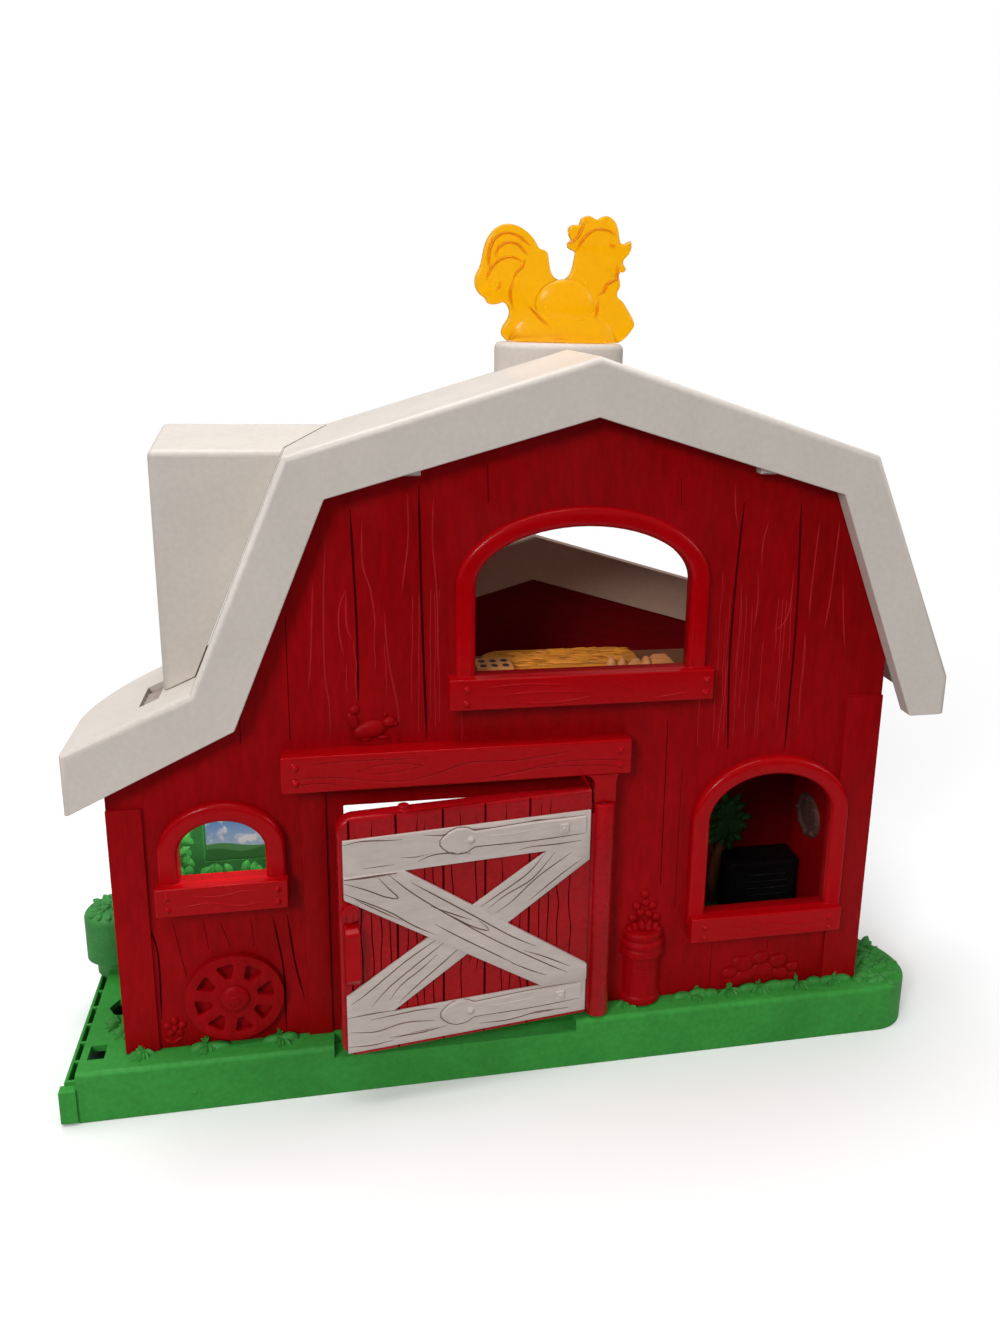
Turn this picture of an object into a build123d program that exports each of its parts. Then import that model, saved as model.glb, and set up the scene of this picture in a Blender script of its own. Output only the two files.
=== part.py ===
"""Toy barn on a green base: red walls, white gambrel roof, one swinging stall door, a weathercock."""
import os

from build123d import *

os.makedirs("parts", exist_ok=True)

# ---------------------------------------------------------------- driving dimensions (mm)
# Every piece is drawn from three reference planes: x from the roof ridge, d (depth) from the front
# face of the front wall, and h (height) from the top of the base. These place them in the part's
# frame, whose origin is the middle of the footprint on the floor.
RIDGE_X = 30.5
FACE_Y = -32.035
BASE_H = 24.0

FIT = 0.2            # gap between pieces that are pushed together
RUN = 0.06           # radial gap of a turning fit

WALL_L = -202.0      # left end of the front wall
WALL_R = 142.0       # right end of the front wall
WALL_T = 3.0
ROOM_D = 79.5        # depth at the back wall's inner face

KNEE_X = 125.5       # gambrel roof: the two knees, the ridge and the two eaves
KNEE_H = 262.5
APEX_H = 302.5
LEAN_X = -165.0      # where the steep left slope turns out into the lean-to
LEAN_H = 167.0
EAVE_L = -216.0
EAVE_LH = 144.0
EAVE_R = 170.0
EAVE_RH = 160.0
EAVE_LIP = 18.0      # height of the right eave's turned-down lip
SKIN = 3.0
ROOF_F = -9.0        # front face of the fascia
ROOF_MID = 61.0      # back edge of the outer skin, of the lean-to and of the dormer
ROOF_B = ROOM_D + 12.5  # back edge of the joining lip that goes on behind it
LIP_DROP = 2.6       # the lip lies this far under the skin's outer face
LIP_LAP = 7.0        # and runs this far forward under the skin
EDGE_R = 2.9         # round outer edge of the fascia
BAND_KNEE_X = 110.0  # lower edge of the fascia: knees, ridge, lean-to corner and tip
BAND_KNEE_H = 245.8
BAND_APEX_H = 278.3
BAND_LOW_X = -148.4
BAND_LOW_H = 150.9
BAND_TIP_H = 117.4
BAND_FOOT_X = 152.0
LEFT_D = 44.0        # the left wall ends here and the hedge goes on
LEAN_R = 30.0        # round back corner of the lean-to
DRIP = 7.0           # turned-out foot of the steep left slope

DORMER_X = -178.5
DORMER_D = 15.0
DORMER_H = 262.0     # height of its top at the front, which rises towards the back
DORMER_RISE = 6.5
DORMER_REACH = -98.0  # the top is drawn this far right, and cut off by the roof

LOFT_H = 160.0
LOFT_D = 50.0

DOOR_W = 118.0       # from the hinge axis to the free edge
DOOR_LO = 3.0
DOOR_HI = 116.5
DOOR_T = 7.0
DOOR_AJAR = 7.0      # degrees open as the toy stands
HINGE_X = 7.8
HINGE_D = -6.8
BARREL_R = 5.3
PIN_R = 2.0
BOARD_W = 17.0
BOARD_T = 1.2

LINTEL_L = -131.0
LINTEL_R = 19.0
LINTEL_LO = 122.3
LINTEL_HI = 138.5
LINTEL_T = 10.0
CORBEL_LO = 108.8
CORBEL_W = 5.0       # half width of the bracket under the lintel, and the cove beside it
COVE_R = 5.3
SILL_T = 9.0
TUBE_W = 8.5         # width of the round frame about each window
TUBE_T = 5.0

BASE_L = -221.0
BASE_R = 171.0
BASE_F = -12.0
BASE_B = ROOM_D + 14.5
BASE_SKIN = 3.0
LOBE_R = 19.0        # round lobe at the right front corner
NECK_X = 153.0       # behind the lobe the base is narrower
NECK_D = 54.0
NECK_R = 12.0
BASE_RIM = 2.0       # the inner ribs stop this far above the floor
RAIL_W = 5.3
RAIL_B = ROOM_D + 4.5
RAIL_TOP = -5.0

VANE_D = ROOM_D - 0.5
TURRET_H = APEX_H + 2.5
TURRET_W = 31.0      # half width and half depth of the oval turret
TURRET_L = 14.5
COCK_T = 5.0
FOOT_W = 27.0        # half width and half depth of its mound at the foot
FOOT_L = 10.0
FOOT_H = 15.5
WING_T = 3.2         # how far each wing stands out
SPINDLE_R = 3.0
BEARING_R = 5.5
BEARING_H = APEX_H - 15.0  # lower end of the turret's bearing boss
WASHER_T = 1.2

SCREW_R = 1.5
COVER_SCREW_R = 1.2
BOSS_R = 4.0
BOSS_H = 18.0

BUSH_H = 31.0        # top of the bush outside the corner, and its three lumps
BUSH_LUMPS = ((-219.0, ROOM_D - 6.5, 13.0), (-212.0, ROOM_D + 1.5, 12.0), (-209.0, ROOM_D - 11.5, 9.0))

GABLE_X = -11.0      # low gable of the back wall
GABLE_H = 200.0
GABLE_SLOPE = 0.3
BACK_L = -131.0

# windows: left, right, bottom, top, rise of the arch; sills: left, right, bottom, top
UPPER = (-49.5, 44.5, 168.7, 232.5, 25.0)
LEFT = (-174.5, -139.0, 82.2, 109.0, 14.0)
RIGHT = (59.8, 120.5, 45.0, 114.5, 22.0)
UPPER_SILL = (-61.0, 55.5, 155.0, 168.7)
LEFT_SILL = (-184.0, -130.0, 69.3, 82.2)
RIGHT_SILL = (52.0, 127.5, 32.7, 45.0)
DOORWAY_L = -106.0
DOORWAY_R = -1.0
DOORWAY_H = 111.0

WHEEL_X = -155.0
WHEEL_H = 24.0
WHEEL_R = 21.0
WHEEL_T = 3.5
CAN_X = 31.0
CAN_D = 2.8          # its axis lies inside the wall
CAN_R = 11.3
CAN_H = 38.0

HOOK_X = 72.0        # snap hooks of the roof, one each side
HOOK_H = 254.5

BOX_L = 97.5         # sound box in the back right corner
BOX_R = 137.0
BOX_D = ROOM_D - 19.5
BOX_H = 33.0
CELL_R = 7.1         # three AA cells under the base
CELL_L = 50.5
CELL_X = 92.0
CELL_D = 42.0
CELL_PITCH = 2 * CELL_R + 0.8
CELL_H = -BASE_SKIN - CELL_R - 0.4
BAY_X = CELL_L / 2 + 6.75  # half length and half width of their compartment
BAY_D = 1.5 * CELL_PITCH + 2.5
BAY_T = 2.0
COVER_T = 2.0
COVER_SCREW = (CELL_X + BAY_X - 3.0, CELL_D)

FRONT_BOSS_D = WALL_T + BOSS_R + 1.0
BACK_BOSS_D = ROOM_D - BOSS_R - 1.0
FRONT_BOSSES = ((-190.0, FRONT_BOSS_D), (-118.0, FRONT_BOSS_D), (26.0, FRONT_BOSS_D), (130.0, FRONT_BOSS_D))
BACK_BOSSES = ((-122.0, BACK_BOSS_D), (76.0, BACK_BOSS_D))
RIGHT_BOSS = (WALL_R - WALL_T - BOSS_R - 1.0, 44.0)
LEFT_BOSS = (WALL_L + WALL_T + BOSS_R + 1.0, 34.0)
HEDGE_BOSS = (-160.0, BACK_BOSS_D)
SCREWS = FRONT_BOSSES + BACK_BOSSES + (RIGHT_BOSS, LEFT_BOSS, HEDGE_BOSS)


def front(d):
    """Plane facing the viewer at depth d: local x from the ridge, local y the height."""
    return Plane(origin=(RIDGE_X, FACE_Y + d, BASE_H), x_dir=(1, 0, 0), z_dir=(0, -1, 0))


def plan(h):
    """Level plane at height h: local x from the ridge, local y the depth."""
    return Plane(origin=(RIDGE_X, FACE_Y, BASE_H + h), x_dir=(1, 0, 0), z_dir=(0, 0, 1))


def side(x):
    """Plane facing right at x: local x the depth, local y the height."""
    return Plane(origin=(RIDGE_X + x, FACE_Y, BASE_H), x_dir=(0, 1, 0), z_dir=(1, 0, 0))


def arch(x0, x1, h0, h1, rise, mode=Mode.ADD):
    """Opening with straight jambs under half an ellipse, in the current sketch."""
    with BuildLine() as outline:
        Polyline((x0, h1 - rise), (x0, h0), (x1, h0), (x1, h1 - rise))
        EllipticalCenterArc(((x0 + x1) / 2, h1 - rise), (x1 - x0) / 2, rise, start_angle=0, arc_size=180)
    make_face(outline.edges(), mode=mode)


def bar(x0, x1, h0, h1, mode=Mode.ADD):
    """Rectangle between two corners, in the current sketch."""
    with Locations(((x0 + x1) / 2, (h0 + h1) / 2)):
        Rectangle(x1 - x0, h1 - h0, mode=mode)


def lean_height(x):
    """Height of the lean-to's top surface at x."""
    return EAVE_LH + (x - EAVE_L) * (LEAN_H - EAVE_LH) / (LEAN_X - EAVE_L)


def band_height(x):
    """Height of the fascia's lower edge under the lean-to at x."""
    return BAND_TIP_H + (x - EAVE_L) * (BAND_LOW_H - BAND_TIP_H) / (BAND_LOW_X - EAVE_L)


def slope_height(x, drop):
    """Height of the shallow slopes' outer face at x, taken down by drop square to the slope."""
    pitch = (APEX_H - KNEE_H) / KNEE_X
    return APEX_H - pitch * abs(x) - drop * (1 + pitch**2) ** 0.5


def gable(x, rise):
    """Height of the back gable's sloping line, moved up by rise."""
    return GABLE_H + rise - GABLE_SLOPE * abs(x - GABLE_X)


def roof_outline():
    """Outer line of the gambrel roof, from the left knee's foot to the right eave."""
    return (
        (LEAN_X - DRIP, lean_height(LEAN_X - DRIP)),
        (LEAN_X, LEAN_H),
        (-KNEE_X, KNEE_H),
        (0, APEX_H),
        (KNEE_X, KNEE_H),
        (EAVE_R, EAVE_RH),
        (EAVE_R, EAVE_RH - EAVE_LIP),
    )


def base_outline(inset):
    """Outline of the base moved in by inset, its lobe at the right front corner, in the current sketch."""
    with BuildLine() as outline:
        Polyline(
            (NECK_X - NECK_R, BASE_B - inset),
            (BASE_L + inset, BASE_B - inset),
            (BASE_L + inset, BASE_F + inset),
            (BASE_R - LOBE_R, BASE_F + inset),
        )
        CenterArc((BASE_R - LOBE_R, BASE_F + LOBE_R), LOBE_R - inset, -90, 90)
        Spline((BASE_R - inset, BASE_F + LOBE_R), (NECK_X - inset, NECK_D), tangents=((0, 1), (0, 1)))
        Line((NECK_X - inset, NECK_D), (NECK_X - inset, BASE_B - NECK_R))
        CenterArc((NECK_X - NECK_R, BASE_B - NECK_R), NECK_R - inset, 0, 90)
    make_face(outline.edges())


# ---------------------------------------------------------------- front wall
# one pocket between two spokes of the wagon wheel, drawn to the right of its hub
with BuildSketch() as pocket:
    Polygon(
        (WHEEL_R - 11, -1.3),
        (WHEEL_R - 4.3, -4.2),
        (WHEEL_R - 4.3, 4.2),
        (WHEEL_R - 11, 1.3),
        align=None,
    )
    fillet(pocket.vertices(), 1)

with BuildPart() as front_wall:
    # round frames first, so that their edges can be rolled over
    with BuildSketch(front(0)):
        for x0, x1, h0, h1, rise in (UPPER, LEFT, RIGHT):
            arch(x0 - TUBE_W, x1 + TUBE_W, h0 - 5, h1 + TUBE_W, rise + TUBE_W)
            arch(x0, x1, h0 - 5, h1, rise, Mode.SUBTRACT)
    extrude(amount=TUBE_T)
    fillet(front_wall.edges().group_by(Axis.Y)[0], TUBE_T / 2 - 0.2)
    with BuildSketch(front(0)):
        Polygon(
            (WALL_L, 0),
            (WALL_R, 0),
            (WALL_R, 207),
            (KNEE_X - 4.3, KNEE_H - 4),
            (0, APEX_H - 5),
            (4.3 - KNEE_X, KNEE_H - 4),
            (LEAN_X + 6, LEAN_H),
            (LEAN_X + 6, LEAN_H - 8),
            (WALL_L, lean_height(WALL_L) - 5),
            align=None,
        )
    extrude(amount=-WALL_T)
    # corner boards and the post beside the door
    with BuildSketch(front(0)):
        bar(WALL_L, WALL_L + 14, 0, 116)
        bar(WALL_R - 18, WALL_R, 0, 150)
        bar(-124, -113.5, 0, LINTEL_LO - FIT)
    extrude(amount=1.5)
    # sills
    with BuildSketch(front(0)):
        bar(*UPPER_SILL)
        bar(*LEFT_SILL)
        bar(*RIGHT_SILL)
    extrude(amount=SILL_T)
    fillet(front_wall.edges().group_by(Axis.Y)[0], 0.8)
    # wagon wheel leaning on the wall: rim, eight broad spokes between pockets, and a raised hub
    with BuildSketch(front(0)):
        with Locations((WHEEL_X, WHEEL_H)):
            Circle(WHEEL_R)
            with PolarLocations(0, 8, start_angle=12):
                add(pocket.sketch, mode=Mode.SUBTRACT)
    extrude(amount=WHEEL_T)
    with BuildSketch(front(-WHEEL_T + 0.5)):
        with Locations((WHEEL_X, WHEEL_H)):
            Circle(6)
    extrude(amount=2, taper=20)
    # milk can beside the hinge post
    with BuildSketch(front(CAN_D)):
        with Locations((CAN_X, 0)):
            Polygon(
                (0, 1),
                (CAN_R - 0.8, 1),
                (CAN_R - 0.8, 4),
                (CAN_R - 1.6, 5),
                (CAN_R - 1.6, CAN_H - 13),
                (CAN_R, CAN_H - 12),
                (CAN_R, CAN_H - 9),
                (CAN_R - 0.8, CAN_H - 8),
                (CAN_R, CAN_H - 7),
                (CAN_R, CAN_H - 5),
                (CAN_R - 1.4, CAN_H - 4),
                (CAN_R - 1, CAN_H - 3),
                (CAN_R - 1, CAN_H - 1),
                (CAN_R - 2, CAN_H),
                (0, CAN_H),
                align=None,
            )
    revolve(axis=Axis((RIDGE_X + CAN_X, FACE_Y + CAN_D, BASE_H), (0, 0, -1)), revolution_arc=180)
    # openings
    with BuildSketch(front(0)):
        arch(*UPPER)
        arch(*LEFT)
        arch(*RIGHT)
        bar(DOORWAY_L, DOORWAY_R, -1, DOORWAY_H)
        for side_sign in (-1, 1):
            with Locations((side_sign * (HOOK_X + 3.5), HOOK_H + 3)):
                Rectangle(7 + 2 * FIT, 6 + 2 * FIT)
    extrude(amount=TUBE_T + 1, both=True, mode=Mode.SUBTRACT)
    # screw bosses on the inside
    with BuildSketch(plan(0)):
        for x, d in FRONT_BOSSES:
            with Locations((x, d)):
                Circle(BOSS_R)
            bar(x - 2, x + 2, WALL_T - 1, d)
    extrude(amount=BOSS_H)
    with BuildSketch(plan(0)):
        with Locations(*FRONT_BOSSES):
            Circle(SCREW_R)
    extrude(amount=BOSS_H - 3, mode=Mode.SUBTRACT)
front_wall.part.label = "front_wall"
export_step(front_wall.part, "parts/front_wall.step")

# ---------------------------------------------------------------- lintel with the hinge bracket
with BuildPart() as lintel:
    with BuildSketch(front(-FIT / 2)):
        bar(LINTEL_L, LINTEL_R, LINTEL_LO, LINTEL_HI)
    extrude(amount=LINTEL_T)
    fillet(lintel.edges().group_by(Axis.Y)[0], 0.8)
    # bracket for the top of the hinge pin, with a cove on the door's side
    with BuildSketch(front(-1.6)):
        with BuildLine():
            Polyline(
                (HINGE_X - CORBEL_W - COVE_R, LINTEL_LO),
                (HINGE_X - CORBEL_W - COVE_R, LINTEL_LO + 2),
                (HINGE_X + CORBEL_W + 2, LINTEL_LO + 2),
                (HINGE_X + CORBEL_W, LINTEL_LO - 3),
                (HINGE_X + CORBEL_W, CORBEL_LO),
                (HINGE_X - CORBEL_W, CORBEL_LO),
                (HINGE_X - CORBEL_W, LINTEL_LO - COVE_R),
            )
            RadiusArc(
                (HINGE_X - CORBEL_W - COVE_R, LINTEL_LO),
                (HINGE_X - CORBEL_W, LINTEL_LO - COVE_R),
                COVE_R,
            )
        make_face()
    extrude(amount=LINTEL_T + FIT / 2 - 1.6 - 0.4)
    with BuildSketch(plan(CORBEL_LO)):
        with Locations((HINGE_X, HINGE_D)):
            Circle(PIN_R)
    extrude(amount=10, mode=Mode.SUBTRACT)
lintel.part.label = "lintel"
export_step(lintel.part, "parts/lintel.step")

# ---------------------------------------------------------------- side walls and back wall
with BuildPart() as right_wall:
    with BuildSketch(plan(0)):
        bar(WALL_R - WALL_T, WALL_R, WALL_T, ROOM_D)
    extrude(amount=207)
    with BuildSketch(plan(0)):
        with Locations(RIGHT_BOSS):
            Circle(BOSS_R)
        bar(RIGHT_BOSS[0], WALL_R - 1, RIGHT_BOSS[1] - 2, RIGHT_BOSS[1] + 2)
    extrude(amount=BOSS_H)
    with BuildSketch(plan(0)):
        with Locations(RIGHT_BOSS):
            Circle(SCREW_R)
    extrude(amount=BOSS_H - 3, mode=Mode.SUBTRACT)
right_wall.part.label = "right_wall"
export_step(right_wall.part, "parts/right_wall.step")

with BuildPart() as left_wall:
    with BuildSketch(plan(0)):
        bar(WALL_L, WALL_L + WALL_T, WALL_T, LEFT_D)
    extrude(amount=lean_height(WALL_L) - 5)
    with BuildSketch(plan(0)):
        with Locations(LEFT_BOSS):
            Circle(BOSS_R)
        bar(WALL_L + 1, LEFT_BOSS[0], LEFT_BOSS[1] - 2, LEFT_BOSS[1] + 2)
    extrude(amount=BOSS_H)
    with BuildSketch(plan(0)):
        with Locations(LEFT_BOSS):
            Circle(SCREW_R)
    extrude(amount=BOSS_H - 3, mode=Mode.SUBTRACT)
left_wall.part.label = "left_wall"
export_step(left_wall.part, "parts/left_wall.step")

with BuildPart() as back_wall:
    with BuildSketch(front(ROOM_D)):
        Polygon(
            (BACK_L, 0),
            (WALL_R, 0),
            (WALL_R, gable(WALL_R, 0)),
            (GABLE_X, GABLE_H),
            (BACK_L, gable(BACK_L, 0)),
            align=None,
        )
        arch(-112, 62, -1, 118, 42, Mode.SUBTRACT)
    extrude(amount=-WALL_T)
    with BuildSketch(plan(0)):
        for x, d in BACK_BOSSES:
            with Locations((x, d)):
                Circle(BOSS_R)
            bar(x - 2, x + 2, d, ROOM_D + 1)
    extrude(amount=BOSS_H)
    with BuildSketch(plan(0)):
        with Locations(*BACK_BOSSES):
            Circle(SCREW_R)
    extrude(amount=BOSS_H - 3, mode=Mode.SUBTRACT)
back_wall.part.label = "back_wall"
export_step(back_wall.part, "parts/back_wall.step")

# white channel clipped over the back gable
with BuildPart() as rear_trim:
    with BuildSketch(front(ROOM_D - 2.5)):
        Polygon(
            (BACK_L, gable(BACK_L, -10)),
            (GABLE_X, gable(GABLE_X, -10)),
            (WALL_R - WALL_T - FIT, gable(WALL_R - WALL_T - FIT, -10)),
            (WALL_R - WALL_T - FIT, gable(WALL_R - WALL_T - FIT, 12)),
            (GABLE_X, gable(GABLE_X, 12)),
            (BACK_L, gable(BACK_L, 12)),
            align=None,
        )
    extrude(amount=-(WALL_T + 5))
    fillet(rear_trim.edges().filter_by(Axis.Y, reverse=True).group_by(Axis.Z)[-1], 1.5)
    with BuildSketch(front(ROOM_D - FIT / 2)):
        Polygon(
            (BACK_L - 1, gable(BACK_L - 1, -12)),
            (GABLE_X, gable(GABLE_X, -12)),
            (WALL_R, gable(WALL_R, -12)),
            (WALL_R, gable(WALL_R, FIT)),
            (GABLE_X, gable(GABLE_X, FIT)),
            (BACK_L - 1, gable(BACK_L - 1, FIT)),
            align=None,
        )
    extrude(amount=-(WALL_T + FIT), mode=Mode.SUBTRACT)
rear_trim.part.label = "rear_trim"
export_step(rear_trim.part, "parts/rear_trim.step")

# ---------------------------------------------------------------- roof
# the wide band across the front, with its round outer edge
with BuildPart() as fascia:
    with BuildSketch(front(ROOF_F)):
        Polygon(
            (EAVE_L, BAND_TIP_H - 5),
            (EAVE_L, EAVE_LH),
            *roof_outline()[1:6],
            (EAVE_R, BAND_TIP_H - 5),
            align=None,
        )
    extrude(amount=-SKIN)
    fillet(fascia.edges().group_by(Axis.Y)[0].sort_by(Axis.Z)[1:], EDGE_R)
    with BuildSketch(front(ROOF_F)):
        Polygon(
            (EAVE_L - 1, BAND_TIP_H - 6),
            (EAVE_L - 1, band_height(EAVE_L - 1)),
            (BAND_LOW_X, BAND_LOW_H),
            (-BAND_KNEE_X, BAND_KNEE_H),
            (0, BAND_APEX_H),
            (BAND_KNEE_X, BAND_KNEE_H),
            (BAND_FOOT_X, EAVE_RH - EAVE_LIP),
            (EAVE_R + 1, EAVE_RH - EAVE_LIP),
            (EAVE_R + 1, BAND_TIP_H - 6),
            align=None,
        )
    extrude(amount=-SKIN, mode=Mode.SUBTRACT)

# the hollow under the lean-to, taken out of it below
with BuildPart() as lean_core:
    with BuildSketch(front(ROOF_F + SKIN)):
        Polygon(
            (EAVE_L + SKIN, BAND_TIP_H - 10),
            (EAVE_L + SKIN, lean_height(EAVE_L + SKIN) - 3.3),
            (LEAN_X + 1, lean_height(LEAN_X + 1) - 3.3),
            (LEAN_X + 1, BAND_TIP_H - 10),
            align=None,
        )
    extrude(amount=ROOF_F + 2 * SKIN - ROOF_MID)
    fillet(lean_core.edges().filter_by(Axis.Z).sort_by(Axis.X)[:2].sort_by(Axis.Y)[-1], LEAN_R - SKIN)

with BuildPart() as roof:
    # lean-to: a lidded tray with a round back corner, open below and towards the barn
    with BuildSketch(front(ROOF_F + SKIN)):
        Polygon(
            (EAVE_L, BAND_TIP_H),
            (EAVE_L, EAVE_LH),
            (LEAN_X, LEAN_H),
            (LEAN_X, band_height(LEAN_X)),
            align=None,
        )
    extrude(amount=ROOF_F + SKIN - ROOF_MID)
    fillet(roof.edges().filter_by(Axis.Z).sort_by(Axis.X)[:2].sort_by(Axis.Y)[-1], LEAN_R)
    add(lean_core.part, mode=Mode.SUBTRACT)
    add(fascia.part)
    # gambrel skin
    with BuildSketch(front(ROOF_F + SKIN)):
        with BuildLine():
            outer = Polyline(*roof_outline())
            offset(outer, amount=SKIN, side=Side.RIGHT)
        make_face()
    extrude(amount=ROOF_F + SKIN - ROOF_MID)
    # joining lip: one step lower, on to the back wall
    with BuildSketch(front(ROOF_MID - LIP_LAP)):
        with BuildLine():
            lip = Polyline(*roof_outline()[1:6])
            offset(lip, amount=LIP_DROP + SKIN, side=Side.RIGHT)
        make_face()
        with BuildLine():
            step = Polyline(*roof_outline()[1:6])
            offset(step, amount=LIP_DROP, side=Side.RIGHT)
        make_face(mode=Mode.SUBTRACT)
    extrude(amount=ROOF_MID - LIP_LAP - ROOF_B)
    # soffit: closes the band against the wall
    with BuildSketch(front(ROOF_F + SKIN)):
        with BuildLine():
            lower = Polyline(
                (BAND_FOOT_X, EAVE_RH - EAVE_LIP),
                (BAND_KNEE_X, BAND_KNEE_H),
                (0, BAND_APEX_H),
                (-BAND_KNEE_X, BAND_KNEE_H),
                (BAND_LOW_X, BAND_LOW_H),
                (WALL_L, band_height(WALL_L)),
            )
            offset(lower, amount=2.5, side=Side.RIGHT)
        make_face()
    extrude(amount=ROOF_F + SKIN + FIT)
    # snap hooks through the wall
    with BuildSketch(front(ROOF_F + SKIN)):
        for side_sign in (-1, 1):
            with Locations((side_sign * (HOOK_X + 3.5), HOOK_H + 3)):
                Rectangle(7, 6)
    extrude(amount=ROOF_F + SKIN - WALL_T - 2)
    # window of the dormer in the steep slope, and the chute beside it
    with BuildSketch(front(DORMER_D + 6)):
        Polygon(
            (LEAN_X + 4, LEAN_H + 2),
            (LEAN_X - 10, LEAN_H + 20),
            (-KNEE_X - 20, KNEE_H - 10),
            (-KNEE_X - 5, KNEE_H - 8),
            (-KNEE_X + 4, KNEE_H - 20),
            (LEAN_X + 16, LEAN_H + 6),
            align=None,
        )
    extrude(amount=DORMER_D + 7 + LIP_LAP - ROOF_MID, mode=Mode.SUBTRACT)
    with BuildSketch(plan(LEAN_H - 30)):
        bar(DORMER_X - 9, DORMER_X - 1, DORMER_D - 6, DORMER_D + 19)
    extrude(amount=40, mode=Mode.SUBTRACT)
    # hole for the weathercock's spindle
    with BuildSketch(plan(APEX_H - 20)):
        with Locations((0, VANE_D)):
            Circle(BEARING_R + 1)
    extrude(amount=40, mode=Mode.SUBTRACT)
roof.part.label = "roof"
export_step(roof.part, "parts/roof.step")

# shed dormer standing on the left slope, its top running out on the shallow one
with BuildPart() as dormer:
    with BuildSketch(side(DORMER_X)):
        Polygon(
            (DORMER_D, LEAN_H - 20),
            (DORMER_D, DORMER_H),
            (ROOF_MID, DORMER_H + DORMER_RISE),
            (ROOF_MID, LEAN_H - 20),
            align=None,
        )
    extrude(amount=DORMER_REACH - DORMER_X)
    fillet(
        dormer.faces().sort_by(Axis.Z)[-1].edges().sort_by(Axis.X)[:3]
        + dormer.edges().filter_by(Axis.Z).group_by(Axis.X)[0],
        SKIN,
    )
    with BuildSketch(side(DORMER_X + SKIN)):
        Polygon(
            (DORMER_D + SKIN, LEAN_H - 25),
            (DORMER_D + SKIN, DORMER_H - SKIN),
            (ROOF_MID - SKIN, DORMER_H + DORMER_RISE - SKIN),
            (ROOF_MID - SKIN, LEAN_H - 25),
            align=None,
        )
    extrude(amount=-KNEE_X - DORMER_X - SKIN, mode=Mode.SUBTRACT)
    with BuildSketch(front(DORMER_D - 1)):
        Polygon(
            (DORMER_X - 1, LEAN_H - 30),
            (DORMER_X - 1, lean_height(DORMER_X - 1) + FIT),
            (LEAN_X - 0.4, LEAN_H + FIT),
            (-KNEE_X - 0.3, KNEE_H + FIT / 2),
            (0, APEX_H + FIT / 2),
            (0, LEAN_H - 30),
            align=None,
        )
    extrude(amount=DORMER_D - 2 - ROOF_MID, mode=Mode.SUBTRACT)
dormer.part.label = "dormer"
export_step(dormer.part, "parts/dormer.step")

# ---------------------------------------------------------------- turret and weathercock
with BuildPart() as turret:
    with BuildSketch(plan(APEX_H - 20)):
        with Locations((0, VANE_D)):
            Ellipse(TURRET_W, TURRET_L)
    extrude(amount=TURRET_H - APEX_H + 20)
    fillet(turret.faces().sort_by(Axis.Z)[-1].edges(), 3)
    with BuildSketch(plan(APEX_H - 20)):
        with Locations((0, VANE_D)):
            Ellipse(TURRET_W - 2.5, TURRET_L - 2.5)
    extrude(amount=TURRET_H - APEX_H + 17, mode=Mode.SUBTRACT)
    # saddle that sits on the lip's two slopes
    with BuildSketch(front(VANE_D - 30)):
        Polygon(
            (-KNEE_X, APEX_H - 90),
            (-KNEE_X, slope_height(-KNEE_X, LIP_DROP) + FIT / 2),
            (0, slope_height(0, LIP_DROP) + FIT / 2),
            (KNEE_X, slope_height(KNEE_X, LIP_DROP) + FIT / 2),
            (KNEE_X, APEX_H - 90),
            align=None,
        )
    extrude(amount=-60, mode=Mode.SUBTRACT)
    # bearing boss down through the roof
    with BuildSketch(plan(BEARING_H)):
        with Locations((0, VANE_D)):
            Circle(BEARING_R)
    extrude(amount=TURRET_H - BEARING_H - 1)
    with BuildSketch(plan(BEARING_H)):
        with Locations((0, VANE_D)):
            Circle(SPINDLE_R + RUN)
    extrude(amount=TURRET_H - BEARING_H, mode=Mode.SUBTRACT)
turret.part.label = "turret"
export_step(turret.part, "parts/turret.step")

# the folded wings, one raised egg on each face of the cock
with BuildPart() as wings:
    with BuildSketch(front(VANE_D - COCK_T / 2 - WING_T)):
        with Locations((2.4, TURRET_H + 22.3)):
            Ellipse(16.5, 12.2)
    extrude(amount=-COCK_T - 2 * WING_T)
    fillet(wings.edges().filter_by(GeomType.ELLIPSE), WING_T)

# flat moulded cock: tail, back, comb, beak and breast, round about
with BuildPart() as weathercock:
    with BuildSketch(front(VANE_D - COCK_T / 2)) as outline:
        with Locations((0, TURRET_H)):
            Polygon(
                (-27.5, 0.8),
                (-24, 17),
                (-35.5, 16.5),
                (-41, 27),
                (-36, 36),
                (-34, 49),
                (-23, 53.5),
                (-12, 48.5),
                (-9.5, 41),
                (-5.5, 40.5),
                (-2, 28.5),
                (4, 28.5),
                (7.5, 42),
                (3, 44),
                (4, 53),
                (12, 58.5),
                (24, 58),
                (28.5, 46.5),
                (34.5, 46.5),
                (29.5, 33.5),
                (27.5, 22),
                (37.5, 9),
                (30, 0.8),
                align=None,
            )
        fillet(outline.vertices(), 1.5)
    extrude(amount=-COCK_T)
    # the mound it stands on, broad below and narrow above
    with BuildSketch(plan(TURRET_H + 0.4)):
        with Locations((1.5, VANE_D)):
            Ellipse(FOOT_W, FOOT_L)
    with BuildSketch(plan(TURRET_H + FOOT_H)):
        with Locations((1.5, VANE_D)):
            Ellipse(FOOT_W - 4, COCK_T / 2 + 0.8)
    loft()
    add(wings.part)
    with BuildSketch(plan(BEARING_H - 2 - WASHER_T)):
        with Locations((0, VANE_D)):
            Circle(SPINDLE_R)
    extrude(amount=TURRET_H - BEARING_H + 3 + WASHER_T)
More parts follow.
